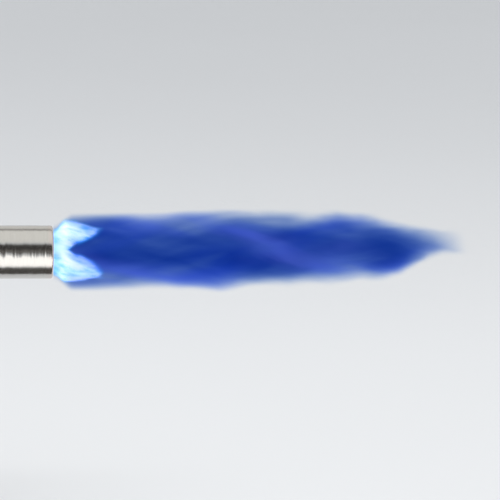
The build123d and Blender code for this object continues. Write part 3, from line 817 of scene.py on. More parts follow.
def socket_screws(name, material, seats, head_radius, head_height, key, shank_radius, shank_length):
    """Knurled socket screws that stand upright on their seats, made by one tree."""
    shape = Shape(name + " shape", material)
    reach = shape.size("Head Radius", head_radius)
    tall = shape.size("Head Height", head_height)
    across = shape.size("Socket Across Flats", key)
    knurls = shape.size("Knurls", 28.0)
    depth = shape.size("Knurl Depth", 0.00012)
    shank = shape.size("Shank Radius", shank_radius)
    length = shape.size("Shank Length", shank_length)
    head = shape.geometry(
        "GeometryNodeMeshCylinder",
        inputs={"Vertices": 112, "Side Segments": 10, "Radius": reach, "Depth": tall},
    )
    place = shape.value("GeometryNodeInputPosition")
    x, y, z = shape.parts(place)
    angle = y.math("ARCTAN2", x)
    ridge = (angle * knurls).math("COSINE") * 0.5 + 0.5
    # The knurl stops short of the rim, and the rim is rounded.
    share = z / tall + 0.5
    on_side = share.ramp(0.04, 0.1) * (1.0 - share.ramp(0.72, 0.8))
    rim = share.ramp(0.84, 1.0) * 0.1
    factor = 1.0 - on_side * (1.0 - ridge) * depth / reach - rim * share.ramp(0.84, 1.0)
    spread = shape.value("ShaderNodeCombineXYZ", inputs={0: factor, 1: factor, 2: 1.0})
    shaped = shape.geometry(
        "GeometryNodeSetPosition",
        inputs={"Geometry": head, "Position": shape.vector("MULTIPLY", place, spread)},
    )
    corner = across / (2 * math.cos(math.radians(30)))
    hole = shape.geometry(
        "GeometryNodeMeshCylinder", inputs={"Vertices": 6, "Radius": corner, "Depth": tall}
    )
    lift = shape.value("ShaderNodeCombineXYZ", inputs={2: tall * 0.45})
    hole = shape.geometry("GeometryNodeTransform", inputs={"Geometry": hole, "Translation": lift})
    cut = shape.node("GeometryNodeMeshBoolean", {"operation": "DIFFERENCE", "solver": "EXACT"})
    shape.tree.links.new(shaped, cut.inputs["Mesh 1"])
    shape.tree.links.new(hole, cut.inputs["Mesh 2"])
    up = shape.value("ShaderNodeCombineXYZ", inputs={2: tall / 2})
    whole_head = shape.geometry(
        "GeometryNodeTransform", inputs={"Geometry": cut.outputs["Mesh"], "Translation": up}
    )
    rod = shape.geometry(
        "GeometryNodeMeshCylinder", inputs={"Vertices": 32, "Radius": shank, "Depth": length}
    )
    down = shape.value("ShaderNodeCombineXYZ", inputs={2: length * -0.5 + 0.0001})
    rod = shape.geometry("GeometryNodeTransform", inputs={"Geometry": rod, "Translation": down})
    screws = shape.copies(shape.entry.outputs["Geometry"], shape.join(whole_head, rod))
    made = shape.build(name, screws, seats)
    soften(made.data)
    return made


def swirler_blades(name, material, radius_in, radius_out, thickness, length, twist, count):
    """Twisted blades round +Z, from the origin up."""
    shape = Shape(name + " shape", material)
    inner = shape.size("Inner Radius", radius_in)
    outer = shape.size("Outer Radius", radius_out)
    thick = shape.size("Thickness", thickness)
    tall = shape.size("Length", length)
    turn = shape.size("Twist", twist)
    blades = shape.size("Blades", count, "NodeSocketInt")
    block_size = shape.value(
        "ShaderNodeCombineXYZ", inputs={0: outer - inner, 1: thick, 2: tall}
    )
    block = shape.geometry(
        "GeometryNodeMeshCube",
        inputs={"Size": block_size, "Vertices X": 5, "Vertices Y": 3, "Vertices Z": 21},
    )
    place = shape.value("GeometryNodeInputPosition")
    centre = shape.value("ShaderNodeCombineXYZ", inputs={0: (outer + inner) / 2, 2: tall / 2})
    moved = shape.vector("ADD", place, centre)
    share = shape.parts(place)[2] / tall + 0.5
    twisted = shape.value(
        "ShaderNodeVectorRotate",
        {"rotation_type": "Z_AXIS"},
        {"Vector": moved, "Angle": share * turn},
    )
    blade = shape.geometry(
        "GeometryNodeSetPosition", inputs={"Geometry": block, "Position": twisted}
    )
    spots = shape.geometry("GeometryNodeMeshLine", inputs={"Count": blades, "Offset": (0, 0, 0)})
    number = shape.value("GeometryNodeInputIndex")
    about = shape.value("ShaderNodeCombineXYZ", inputs={2: number * math.tau / blades})
    return shape.build(name, shape.copies(spots, blade, about))


# ------------------------------------------------------------------ sizes and colours


def length(name, description, default):
    """A length property in metres."""
    return bpy.props.FloatProperty(
        name=name, description=description, default=default, unit="LENGTH", precision=5
    )


def colour(name, description, default):
    """A linear colour property."""
    return bpy.props.FloatVectorProperty(
        name=name, description=description, default=default, subtype="COLOR", size=3, min=0, max=1
    )


class TorchSizes(bpy.types.PropertyGroup):
    """Sizes of the pieces that this file shapes."""

    tube_wall: length("Tube wall", "Wall of the burner tube", 0.0009)
    flame_length: length("Flame length", "From the mouth to the tip of the flame", 0.17)
    lip_turn: length("Lip turn", "How far the tube's lip rolls inwards", 0.0017)
    lip_depth: length("Lip depth", "How far along the tube the lip's roll starts", 0.001)
    gas_pitch: length("Gas thread pitch", "Pitch of the 9/16-18 gas thread", 0.0254 / 18)
    bonnet_pitch: length("Bonnet thread pitch", "Pitch of the packing nut's thread", 0.001)
    knob_radius: length("Valve knob radius", "Radius over the valve knob's ribs", 0.014)
    flute_depth: length("Flute depth", "Depth of the valve knob's flutes", 0.0015)
    knob_ribs: bpy.props.IntProperty(
        name="Valve knob ribs", description="Ribs round the valve knob", default=10, min=3
    )
    thumb_lobes: bpy.props.IntProperty(
        name="Thumb knob lobes", description="Lobes of the tilt clamp's knob", default=5, min=3
    )
    swirler_blades: bpy.props.IntProperty(
        name="Swirler blades", description="Twisted blades in the tube", default=6, min=2
    )
    swirler_twist: bpy.props.FloatProperty(
        name="Swirler twist",
        description="Turn of each blade from back to front",
        default=math.radians(40),
        subtype="ANGLE",
    )


class TorchColours(bpy.types.PropertyGroup):
    """Base colours of the finishes."""

    steel: colour("Stainless steel", "Burner tube, stem and swirler", (0.60, 0.585, 0.56))
    brass: colour("Brass", "Mixer, valve and gas fittings", (0.72, 0.50, 0.20))
    nickel: colour("Nickel plate", "Air collar", (0.66, 0.62, 0.55))
    aluminium: colour("Aluminium", "Cradle clamp", (0.72, 0.73, 0.75))
    coat: colour("Powder coat", "Yoke and base plate", (0.030, 0.033, 0.038))
    knob: colour("Valve knob", "Red phenolic", (0.42, 0.014, 0.012))
    black: colour("Black plastic", "Thumb knob and cap", (0.018, 0.018, 0.019))
    zinc: colour("Zinc plate", "Pivot bolt and washers", (0.66, 0.68, 0.70))
    oxide: colour("Black oxide", "Socket screws", (0.045, 0.045, 0.05))
    fibre: colour("Fibre", "Liners and friction washers", (0.22, 0.06, 0.03))
    cork: colour("Cork", "Pad under the base", (0.30, 0.17, 0.085))
    copper: colour("Copper", "Gaskets", (0.72, 0.32, 0.18))


# ------------------------------------------------------------------ pieces


class TORCH_OT_burner_tube(bpy.types.Operator):
    """Turn the burner tube, with its rolled-in lip and its three screw holes"""

    bl_idname = "torch.burner_tube"
    bl_label = "Burner tube"

    def execute(self, context):
        sizes = context.scene.torch_sizes
        outside = TUBE_RADIUS
        inside = outside - sizes.tube_wall
        lip_edge = outside - sizes.lip_turn
        lip_thickness = 0.00055
        lip_steps = 12
        edge = 0.00018
        screw_x = middle("tube_screws").x
        hole = 0.00155
        # Rings of points near the screw holes keep the tube's long faces from being cut.
        beside = 0.0015
        past = 0.002
        outline = [(TUBE_BACK, inside + edge), (TUBE_BACK, outside - edge), (TUBE_BACK + edge, outside)]
        outline += [(screw_x + step * beside, outside) for step in (-2, -1, 1, 2)]
        for step in range(lip_steps + 1):
            turn = math.radians(90 - 90 * step / lip_steps)
            along = MOUTH - sizes.lip_depth + sizes.lip_depth * math.cos(turn)
            outline.append((along, lip_edge + sizes.lip_turn * math.sin(turn)))
        outline += arc((MOUTH - edge, lip_edge - lip_thickness + edge), edge, 0, -90, 4)
        outline += [
            (MOUTH - sizes.lip_depth, lip_edge - lip_thickness),
            (MOUTH - 2.5 * sizes.lip_depth, inside),
        ]
        outline += [(screw_x + step * beside, inside) for step in (2, 1, -1, -2)]
        outline.append((TUBE_BACK + edge, inside))
        tube = turn_outline(
            "burner_tube_turned", TORCH_LINE, outline, None, segments=192, closed=True
        )
        holes = []
        foot = Vector((screw_x, 0, TORCH_HEIGHT))
        for angle in (30, 150, 270):
            out = Vector((0, math.cos(math.radians(angle)), math.sin(math.radians(angle))))
            holes.append((foot + out * (inside - past), foot + out * (outside + past), hole))
        tube = drilled(tube, holes)
        tube.data.materials.clear()
        tube.data.materials.append(finish("tube steel"))
        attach(tube, "torch")
        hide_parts("burner_tube")
        return {"FINISHED"}


class TORCH_OT_swirler(bpy.types.Operator):
    """Make the swirler: twisted blades between a round-nosed hub and a thin ring"""

    bl_idname = "torch.swirler"
    bl_label = "Swirler"

    def execute(self, context):
        sizes = context.scene.torch_sizes
        steel = finish("fired steel")
        step_back = 0.001
        back = low("swirler").x + step_back
        ring_length = 0.010
        ring_outer = (high("swirler").y - low("swirler").y) / 2
        ring_inner = ring_outer - 0.00085
        hub = 0.0036
        chamfer = 0.0004
        edge = 0.00015
        front = back + ring_length
        ring_outline = [
            (back, ring_inner + edge),
            (back, ring_outer - edge),
            (back + edge, ring_outer),
            (front - edge, ring_outer),
            (front, ring_outer - edge),
            (front, ring_inner + edge),
            (front - edge, ring_inner),
            (back + edge, ring_inner),
        ]
        ring = turn_outline("swirler_ring", TORCH_LINE, ring_outline, steel, closed=True)
        rear = back - step_back
        nose = [(rear, ON_AXIS), (rear, hub - chamfer), (rear + chamfer, hub)]
        # The last point's radius is all but nothing, so that the nose closes on the axis.
        nose += arc((front - step_back, 0), hub, 90, 0.02, 14)
        core = turn_outline("swirler_hub", TORCH_LINE, nose, steel, segments=64)
        blades = swirler_blades(
            "swirler_blades",
            steel,
            radius_in=hub - 0.0004,
            radius_out=ring_inner + 0.0003,
            thickness=0.001,
            length=ring_length,
            twist=sizes.swirler_twist,
            count=sizes.swirler_blades,
        )
        soften(blades.data, 40)
        # The CAD blades start upright and turn towards the user's right as they go forward.
        place_mesh(blades, line((back, 0, TORCH_HEIGHT), (1, 0, 0)) @ Z_TO_X)
        whole = joined("swirler_twisted", [ring, core, blades])
        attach(whole, "torch")
        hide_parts("swirler")
        return {"FINISHED"}


class TORCH_OT_inlet_nipple(bpy.types.Operator):
    """Turn the gas inlet nipple and cut its left-hand thread"""

    bl_idname = "torch.inlet_nipple"
    bl_label = "Inlet nipple"

    def execute(self, context):
        pitch = context.scene.torch_sizes.gas_pitch
        brass = finish("brass")
        rear = low("inlet_nipple").x
        foot = high("inlet_nipple").x
        crest = 0.00714
        depth = pitch * 0.58
        root = crest - depth
        edge = 0.0003
        relief = 0.006
        cone = 0.005
        cone_depth = 0.0043
        bore = 0.0025
        filter_back = low("inlet_filter").x - 0.0001
        filter_bore = 0.0032
        spigot = 0.00545
        thread_front = rear + 0.0118
        hex_back = rear + 0.0132
        hex_front = low("valve_body").x - 0.0008
        flats = 0.017
        outline = [
            (rear, cone),
            (rear, root - edge),
            (rear + edge, root),
            (thread_front, root),
            (thread_front + 0.0002, relief),
            (hex_back, relief),
        ]
        outline += hexagon_stretch(flats, hex_back, hex_front)
        outline += [
            (hex_front, spigot),
            (foot, spigot),
            (foot, filter_bore),
            (filter_back, filter_bore),
            (filter_back, bore),
            (rear + cone_depth, bore),
        ]
        body = turn_outline(
            "nipple_body", TORCH_LINE, outline, brass, hexagon(flats), segments=120, closed=True
        )
        ridge = thread_ridge("gas_thread", brass, crest, pitch, thread_front - rear - pitch, depth)
        # Mirrored, because a fuel gas thread is left-handed.
        mirrored = Matrix.Diagonal((1, -1, 1, 1))
        stand = line((rear + pitch * 0.6, 0, TORCH_HEIGHT), (1, 0, 0))
        place_mesh(ridge, stand @ Z_TO_X @ mirrored)
        soften(ridge.data, 28)
        whole = joined("inlet_nipple_threaded", [body, ridge])
        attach(whole, "torch")
        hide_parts("inlet_nipple")
        return {"FINISHED"}


class TORCH_OT_bonnet(bpy.types.Operator):
    """Turn the valve bonnet and cut the packing nut's thread on it"""

    bl_idname = "torch.bonnet"
    bl_label = "Bonnet"

    def execute(self, context):
        pitch = context.scene.torch_sizes.bonnet_pitch
        brass = finish("spindle brass")
        flats = 0.015
        foot, gasket, hex_top, packing_seat, top = [mm * MM for mm in (10, 18.8, 24.8, 25, 30)]
        crest = 0.0055
        depth = 0.0006
        root = crest - depth
        bore = 0.00306
        packing_bore = 0.004
        spigot = 0.00595
        edge = 0.0003
        outline = [(foot, bore), (foot, spigot - 0.00025), (foot + edge, spigot), (gasket, spigot)]
        outline += hexagon_stretch(flats, gasket, hex_top)
        outline += [
            (hex_top, root),
            (top - edge, root),
            (top, root - edge),
            (top, packing_bore),
            (packing_seat, packing_bore),
            (packing_seat, bore),
        ]
        body = turn_outline(
            "bonnet_body", SPINDLE_LINE, outline, brass, hexagon(flats), segments=120, closed=True
        )
        ridge = thread_ridge("bonnet_thread", brass, crest, pitch, top - hex_top - edge, depth)
        place_mesh(ridge, SPINDLE_LINE @ Matrix.Translation((hex_top + 0.0001, 0, 0)) @ Z_TO_X)
        soften(ridge.data, 28)
        whole = joined("bonnet_threaded", [body, ridge])
        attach(whole, "torch")
        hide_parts("bonnet")
        return {"FINISHED"}


class TORCH_OT_socket_screws(bpy.types.Operator):
    """Make the cradle's and the yoke's knurled socket screws"""

    bl_idname = "torch.socket_screws"
    bl_label = "Socket screws"

    def execute(self, context):
        black = finish("oxide")
        # Node, body, head's radius and height, key, shank's radius and length, and if two by two.
        kinds = (
            ("cradle_screws", "torch", 0.0034, 0.0036, 0.003, 0.002, 0.010, True),
            ("yoke_screws", "stand", 0.0045, 0.0028, 0.003, 0.0025, 0.010, False),
        )
        for node, body, head, tall, key, shank, deep, pairs in kinds:
            far = high(node)
            x = far.x - head
            y = far.y - head if pairs else 0.0
            seat = far.z - tall
            sides = (-1, 1) if pairs else (1,)
            seats = [(side * x, other * y, seat) for side in (-1, 1) for other in sides]
            made = socket_screws(node + "_knurled", black, seats, head, tall, key, shank, deep)
            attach(made, body)
            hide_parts(node)
        return {"FINISHED"}


class TORCH_OT_valve_knob(bpy.types.Operator):
    """Mould the valve knob: ten ribs, rounded rims and a recess for its cap"""

    bl_idname = "torch.valve_knob"
    bl_label = "Valve knob"

    def execute(self, context):
        sizes = context.scene.torch_sizes
        radius = sizes.knob_radius
        bottom, skirt, top = [mm * MM for mm in (36, 40.5, 51)]

        def ribs(angle):
            wave = math.cos(math.radians(angle * sizes.knob_ribs)) * 0.5 + 0.5
            return radius - sizes.flute_depth * wave**1.7

        bore = 0.00255
        hub_rim = 0.0008
        low_rim = 0.0009
        high_rim = 0.0024
        cap_seat = top - 0.001
        cap_radius = 0.008
        screw_seat = top - 0.003
        screw_recess = 0.006
        screw_hole = 0.0017
        hole_foot = top - 0.005
        outline = [(bottom, bore), (bottom, 0.0073)]
        outline += arc((bottom + hub_rim, 0.0072), hub_rim, 180, 90, 4)
        outline += [(skirt - 0.0016, 0.0088), (skirt - 0.0004, 0.0094)]
        outline += rounded_rim(skirt + low_rim, low_rim, 180, 90, 5)
        outline += [(skirt + (top - skirt) * step / 6, BEYOND_REACH) for step in (2, 3, 4)]
        outline += rounded_rim(top - high_rim, high_rim, 90, 8, 8)
        # The top dips a little towards the cap.
        outline += [(top - 0.00005, 0.0100), (top - 0.0002, 0.0086), (top - 0.0002, 0.0082)]
        outline += [(top - 0.0004, cap_radius), (cap_seat, cap_radius), (cap_seat, screw_recess)]
        outline += [(screw_seat, screw_recess), (screw_seat, screw_hole)]
        outline += [(hole_foot, screw_hole), (hole_foot, bore)]
        knob = turn_outline(
            "valve_knob_moulded",
            SPINDLE_LINE,
            outline,
            finish("red knob"),
            ribs,
            segments=sizes.knob_ribs * 24,
            closed=True,
        )
        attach(knob, "valve_knob")
        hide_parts("valve_knob")
        return {"FINISHED"}


class TORCH_OT_thumb_knob(bpy.types.Operator):
    """Mould the tilt clamp's five-lobe thumb knob"""

    bl_idname = "torch.thumb_knob"
    bl_label = "Thumb knob"

    def execute(self, context):
        sizes = context.scene.torch_sizes
        lobe_circle = 0.0125
        lobe = 0.006
        blend = 0.0016
        near = -high("thumb_knob").y
        far = -low("thumb_knob").y
        back = near + 0.0015

        def lobes(angle):
            step = 360.0 / sizes.thumb_lobes
            off = math.radians((angle + step / 2) % step - step / 2)
            across = lobe_circle * math.sin(off)
            reach = 0.0
            if abs(across) < lobe:
                reach = lobe_circle * math.cos(off) + math.sqrt(lobe**2 - across**2)
            # A smooth maximum rounds the hollow where each lobe meets the middle.
            more = max(reach, lobe_circle)
            less = min(reach, lobe_circle)
            return more + blend * math.exp((less - more) / blend) * 0.5

        rim = 0.0026
        boss = 0.009
        insert_hole = 0.0056
        hole_foot = far - 0.0019
        dish = far - 0.0014
        outline = [(near, insert_hole), (near, boss - 0.0002), (near + 0.0002, boss)]
        outline += [(back, boss), (back, 0.0098)]
        outline += rounded_rim(back + rim, rim, 176, 90, 8)
        outline += [(back + (far - back) * share, BEYOND_REACH) for share in (0.35, 0.5, 0.65)]
        outline += rounded_rim(far - rim, rim, 90, 6, 9)
        # The face is dished in the middle.
        outline += [(far - 0.0001, 0.0092), (far - 0.0006, 0.0082), (far - 0.0012, 0.0062)]
        outline += [(dish, 0.003), (dish, ON_AXIS)]
        outline += [(hole_foot, ON_AXIS), (hole_foot, insert_hole)]
        knob = turn_outline(
            "thumb_knob_moulded",
            CLAMP_LINE,
            outline,
            finish("black knob"),
            lobes,
            segments=sizes.thumb_lobes * 48,
            closed=True,
        )
        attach(knob, "thumb_knob")
        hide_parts("thumb_knob")
        return {"FINISHED"}


class TORCH_OT_braze_fillets(bpy.types.Operator):
    """Run a fillet of silver braze round each end of the stem"""

    bl_idname = "torch.braze_fillets"
    bl_label = "Braze fillets"

    def execute(self, context):
        braze = finish("braze")
        stem = (high("stem_tube").z - low("stem_tube").z) / 2
        size = 0.0013
        sunk = 0.0001
        steps = 6
        rings = []
        for name, face, way in (("front", low("jet_holder").x, -1), ("back", high("valve_body").x, 1)):
            outline = [(face - way * sunk, stem - 0.00002), (face - way * sunk, stem + size)]
            for step in range(steps + 1):
                turn = math.radians(90 * step / steps)
                along = face + way * size * (1 - math.cos(turn))
                outline.append((along, stem + size * (1 - math.sin(turn))))
            ring = turn_outline("braze_" + name, TORCH_LINE, outline, braze, closed=True)
            rings.append(ring)
        whole = joined("braze_fillets", rings)
        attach(whole, "torch")
        return {"FINISHED"}


class TORCH_OT_carried_finishes(bpy.types.Operator):
    """Give each carried-over node its finish"""

    bl_idname = "torch.carried_finishes"
    bl_label = "Finishes of the other pieces"

    def execute(self, context):
        for name, nodes in CARRIED_FINISHES.items():
            for node in nodes:
                for place in frame["nodes"][node].material_slots:
                    place.material = finish(name)
        return {"FINISHED"}


# ------------------------------------------------------------------ flame and stage


def card(name, corners, brightness):
    """A flat studio card that only reflections see."""
    mesh = bpy.data.meshes.new(name)
    mesh.from_pydata(corners, [], [(0, 1, 2, 3)])
    material = bpy.data.materials.new(name)
    material.use_nodes = True
    tree = Tree(material.node_tree)
    glow = tree.node("ShaderNodeEmission", inputs={"Color": (*brightness, 1.0), "Strength": 1.0})
    tree.feed(material.node_tree.nodes["Material Output"].inputs["Surface"], glow.outputs[0])
    made = link(name, mesh, material)
    made.visible_camera = False
    made.visible_diffuse = False
    made.visible_transmission = False
    made.visible_volume_scatter = False
    made.visible_shadow = False


# Each part of the flame: the colour it lets through, its density, its glow and the glow's strength.
BODY = ((0.01, 0.25, 0.64), 265.0, (0.02, 0.20, 1.0), 18.0)
WISPS = ((0.35, 0.4, 0.75), 190.0, (0.25, 0.35, 1.0), 84.0)
LOBES = ((0.05, 0.45, 0.7), 360.0, (0.15, 0.72, 1.0), 185.0)
CORES = ((0.65, 0.45, 0.75), 700.0, (1.0, 0.90, 1.0), 900.0)


def burning(f, parts):
    """Fill a material's volume with parts of a flame, each with how much of it there is."""
    whole = None
    for present, (through, density, glow, strength) in parts:
        absorb = f.node(
            "ShaderNodeVolumeAbsorption", inputs={"Color": (*through, 1.0), "Density": density}
        )
        shine = f.node("ShaderNodeEmission", inputs={"Color": (*glow, 1.0), "Strength": strength})
        both = f.node("ShaderNodeAddShader", inputs={0: absorb.outputs[0], 1: shine.outputs[0]})
        part = f.node("ShaderNodeMixShader", inputs={0: present, 2: both.outputs[0]})
        if whole is not None:
            part = f.node("ShaderNodeAddShader", inputs={0: whole, 1: part.outputs[0]})
        whole = part.outputs[0]
    f.feed(f.tree.nodes["Material Output"].inputs["Volume"], whole)


def blue_flame(reach):
    """A swirling blue flame from the mouth forward, with two bright lobes at its root."""
    f = Finish("flame")
    f.tree.nodes.remove(f.shader)
    from_mouth = f.moved((1, 1, 1), (MOUTH, 0, TORCH_HEIGHT))
    x, y, z = f.parts(from_mouth)
    share = x / reach
    # The gas is shaken sideways more and more towards the tip, and rises a little.
    shake = f.value(
        "ShaderNodeTexNoise",
        inputs={"Vector": f.moved((26, 42, 42)), "Scale": 1.0, "Detail": 3.0},
        output="Color",
    )
    shake_x, shake_y, shake_z = f.parts(shake)
    amount = share.ramp(0.0, 0.9, 0.0012, 0.016)
    y = y + (shake_y - 0.5) * amount
    z = z + (shake_z - 0.5) * amount - share * share * 0.003
    radius = (y * y + z * z).math("SQRT")
    envelope = share.ramp(0.0, 0.05, 0.0094, 0.0130) + share.ramp(0.2, 0.5, 0.0, 0.0024)
    envelope = envelope + share.ramp(0.45, 0.75, 0.0, 0.0012)
    envelope = envelope * share.ramp(0.78, 1.02, 1.0, 0.35)
    place = radius / envelope
    soft = share.ramp(0.0, 1.0, 0.08, 0.5)
    inside = 1.0 - (place - 1.0 + soft).ramp(0.0, 0.4)
    tail = 1.0 - (share + (shake_x - 0.5) * 0.25).ramp(0.80, 1.04)
    # Two sheets of flame wind round the axis, by twist radians a metre.
    twist = 31.0
    sheet_count = 2.0
    round_axis = z.math("ARCTAN2", y)
    phase = round_axis * sheet_count - x * (sheet_count * twist) + (shake_x - 0.5) * 5.0
    sheets = phase.math("COSINE") * 0.5 + 0.5
    wound = f.value(
        "ShaderNodeVectorRotate",
        {"rotation_type": "X_AXIS"},
        {"Vector": from_mouth, "Angle": x * -twist},
    )
    strands = f.noise(f.vector("MULTIPLY", wound, (22, 120, 120)), detail=3.0, distortion=0.4)
    # Nothing burns behind the mouth, where the flame goes when the valve is shut.
    lit = x.ramp(-0.0003, 0.0)
    gas = lit * inside * tail * x.ramp(0.0, 0.010, 0.45, 1.0)
    body = gas * (0.3 + 0.7 * strands.ramp(0.3, 0.75))
    wisps = gas * place.ramp(0.35, 0.9) * (sheets * sheets) * strands.ramp(0.35, 0.7)
    # Two bright lobes stand on the mouth, with a dark wedge between them that leans a little and
    # lies just above the axis.
    lean = math.radians(10.0)
    wedge_height = 0.0009
    wedge = x.ramp(0.002, 0.010, -0.0032, 0.0028) + x.ramp(0.010, 0.020, 0.0, 0.0040)
    rim = x.ramp(0.0, 0.0055, 0.0092, 0.0126) - x.ramp(0.0075, 0.020, 0.0, 0.0024)
    wool = f.noise(f.vector("MULTIPLY", wound, (130, 420, 420)), detail=4.0)
    fray = (strands - 0.5) * 0.006 + (wool - 0.5) * 0.004
    from_wedge = (z * math.cos(lean) + y * math.sin(lean) - wedge_height).math("ABSOLUTE")
    past_wedge = from_wedge + fray - wedge
    lobes = past_wedge.ramp(-0.0012, 0.0016) * (1.0 - (radius + fray - rim).ramp(-0.0016, 0.0006))
    lobes = lit * lobes * (1.0 - (x + fray).ramp(0.0168, 0.0210))
    cores = lobes * lobes * wool.ramp(0.32, 0.58) * past_wedge.ramp(-0.0004, 0.0018)
    cores = cores * x.ramp(0.0, 0.006, 0.35, 1.0)
    burning(f, ((body, BODY), (wisps, WISPS), (lobes, LOBES), (cores, CORES)))
    f.material.cycles.volume_step_rate = 0.3
    return f.material


class TORCH_OT_flame(bpy.types.Operator):
    """Fill the space in front of the mouth with the swirling blue flame"""

    bl_idname = "torch.flame"
    bl_label = "Flame"

    def execute(self, context):
        reach = context.scene.torch_sizes.flame_length
        # The space that the flame burns in, a little wider than the flame.
        start = MOUTH + 0.0002
        outline = [(start, ON_AXIS), (start, 0.0108), (MOUTH + 0.0012, 0.0145)]
        outline += [(MOUTH + 0.008, 0.0175), (MOUTH + 0.05, 0.0205), (MOUTH + 0.12, 0.0225)]
        outline += [(MOUTH + reach, 0.017), (MOUTH + reach * 1.04, ON_AXIS)]
        flame = turn_outline("flame", TORCH_LINE, outline, blue_flame(reach), segments=48)
        flame.visible_shadow = False
        flame.visible_diffuse = False
        flame.visible_glossy = False
        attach(flame, "torch")
        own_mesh(flame)
        return {"FINISHED"}


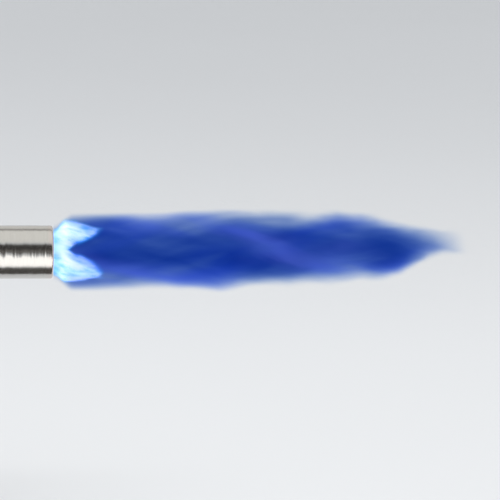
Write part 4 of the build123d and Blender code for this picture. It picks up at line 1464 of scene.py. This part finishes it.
class TORCH_OT_stage(bpy.types.Operator):
    """Set out the pale floor, the soft lights, the reflection cards and the camera"""

    bl_idname = "torch.stage"
    bl_label = "Stage"

    def execute(self, context):
        self.floor()
        self.lights(context)
        self.cards()
        self.camera(context)
        return {"FINISHED"}

    def floor(self):
        """A pale round floor that sweeps up into a wall."""
        f = Finish("pale floor")
        cloud = f.noise(f.place, 1.3, 3.0)
        base = f.mix(cloud, (0.76, 0.76, 0.755, 1.0), (0.80, 0.80, 0.80, 1.0))
        f.feed(f.shader.inputs["Specular IOR Level"], 0.0)
        sheet = f.finished(Base_Color=base, Roughness=1.0)
        flat, sweep, wall = 3.0, 0.8, 1.1
        outline = [(0.0, ON_AXIS), (0.0, 1.0), (0.0, flat)]
        outline += [
            (sweep - sweep * math.cos(math.radians(a)), flat + sweep * math.sin(math.radians(a)))
            for a in range(6, 91, 6)
        ]
        outline.append((wall, flat + sweep))
        stand = line((0, 0, 0), (0, 0, 1), (1, 0, 0))
        floor = turn_outline("floor", stand, outline, sheet, segments=128)
        floor.data.flip_normals()

    def lights(self, context):
        """A broad softbox overhead and an even room."""
        world = context.scene.world or bpy.data.worlds.new("room")
        context.scene.world = world
        world.use_nodes = True
        ground = world.node_tree.nodes["Background"]
        ground.inputs["Color"].default_value = (0.93, 0.96, 1.0, 1.0)
        ground.inputs["Strength"].default_value = 0.8
        light = bpy.data.lights.new("overhead softbox", "AREA")
        light.shape = "RECTANGLE"
        light.size = 1.6
        light.size_y = 0.8
        light.energy = 6.0
        lamp = bpy.data.objects.new("overhead softbox", light)
        lamp.visible_glossy = False
        place = Vector((0.1, -0.1, 1.05))
        way = Vector((0.1, 0.0, 0.0)) - place
        look = way.to_track_quat("-Z", "Y").to_matrix().to_4x4()
        lamp.matrix_world = Matrix.Translation(place) @ look
        context.scene.collection.objects.link(lamp)

    def cards(self):
        """Cards along the torch, each between two angles from the level on the camera's side."""
        back, front = -0.7, 1.0
        kinds = (
            ("dark card in front", 19.0, 44.0, 0.9, (0.045, 0.042, 0.04)),
            ("grey card low in front", 2.0, 19.0, 0.92, (0.16, 0.15, 0.14)),
            ("white card overhead", 52.0, 117.5, 0.88, (0.98, 0.98, 0.95)),
            ("grey card behind", 117.5, 129.5, 0.9, (0.30, 0.295, 0.285)),
            ("pale card behind", 129.5, 165.0, 0.92, (0.80, 0.795, 0.77)),
        )
        for name, start, end, reach, brightness in kinds:
            corners = []
            for x, angle in ((back, start), (front, start), (front, end), (back, end)):
                turn = math.radians(angle)
                y = -reach * math.cos(turn)
                z = TORCH_HEIGHT + reach * math.sin(turn)
                corners.append((x, y, z))
            card(name, corners, brightness)
        # Just above the floor, seen only in reflections: a bright glowing sheet in front of the tube that
        # paints a band of light into the tube's reflection, and a dark sheet under it that paints the
        # tube's shadow on the floor into the reflection.
        rise = 0.0006
        back = 0.07
        for name, start, end, brightness in (
            ("painted floor light sheet", 9.0, 52.0, (1.75, 1.74, 1.72)),
            ("painted floor shadow sheet", 58.0, 97.0, (0.085, 0.08, 0.075)),
        ):
            outer, inner = [
                -(TORCH_HEIGHT - rise) / math.tan(math.radians(angle)) for angle in (start, end)
            ]
            corners = [(back, outer, rise), (front, outer, rise), (front, inner, rise), (back, inner, rise)]
            card(name, corners, brightness)

    def camera(self, context):
        """A long lens that looks across the mouth from a little behind it and above."""
        frame_width = 0.21004
        lens = 250.0
        sensor = 36.0
        behind = math.radians(6.3)
        lift = math.radians(10.0)
        from_mouth = 0.0828
        above = 0.0009
        data = bpy.data.cameras.new("camera")
        data.lens = lens
        data.sensor_width = sensor
        data.clip_end = 50.0
        distance = frame_width * lens / sensor
        aim = Vector((MOUTH + from_mouth, 0.0, TORCH_HEIGHT + above))
        way = Matrix.Rotation(-behind, 3, "Z") @ Vector((0.0, -math.cos(lift), math.sin(lift)))
        camera = bpy.data.objects.new("camera", data)
        camera.location = aim + way * distance
        # Rolled so that the tube lies level.
        level = Matrix.Rotation(math.atan(math.tan(behind) * math.sin(lift)), 4, "Z")
        look = (-way).to_track_quat("-Z", "Y").to_matrix().to_4x4() @ level
        camera.rotation_euler = look.to_euler()
        context.scene.collection.objects.link(camera)
        context.scene.camera = camera
        context.scene.view_settings.view_transform = "Standard"


class TORCH_PT_panel(bpy.types.Panel):
    """The steps and sizes of the torch"""

    bl_label = "Lampwork torch"
    bl_idname = "TORCH_PT_panel"
    bl_space_type = "VIEW_3D"
    bl_region_type = "UI"
    bl_category = "Torch"

    def draw(self, context):
        column = self.layout.column(align=True)
        for step in STEPS:
            column.operator(step.bl_idname)
        for group in (context.scene.torch_sizes, context.scene.torch_colours):
            box = self.layout.box()
            for name in group.__annotations__:
                box.prop(group, name)


STEPS = (
    TORCH_OT_stage,
    TORCH_OT_burner_tube,
    TORCH_OT_swirler,
    TORCH_OT_inlet_nipple,
    TORCH_OT_bonnet,
    TORCH_OT_socket_screws,
    TORCH_OT_valve_knob,
    TORCH_OT_thumb_knob,
    TORCH_OT_braze_fillets,
    TORCH_OT_carried_finishes,
    TORCH_OT_flame,
)
CLASSES = (TorchSizes, TorchColours, *STEPS, TORCH_PT_panel)


def register():
    for kind in CLASSES:
        bpy.utils.register_class(kind)
    bpy.types.Scene.torch_sizes = bpy.props.PointerProperty(type=TorchSizes)
    bpy.types.Scene.torch_colours = bpy.props.PointerProperty(type=TorchColours)


def unregister():
    del bpy.types.Scene.torch_colours
    del bpy.types.Scene.torch_sizes
    for kind in reversed(CLASSES):
        bpy.utils.unregister_class(kind)


def main():
    """Register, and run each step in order."""
    register()
    for step in STEPS:
        group, name = step.bl_idname.split(".")
        getattr(getattr(bpy.ops, group), name)()


if __name__ == "__main__":
    main()
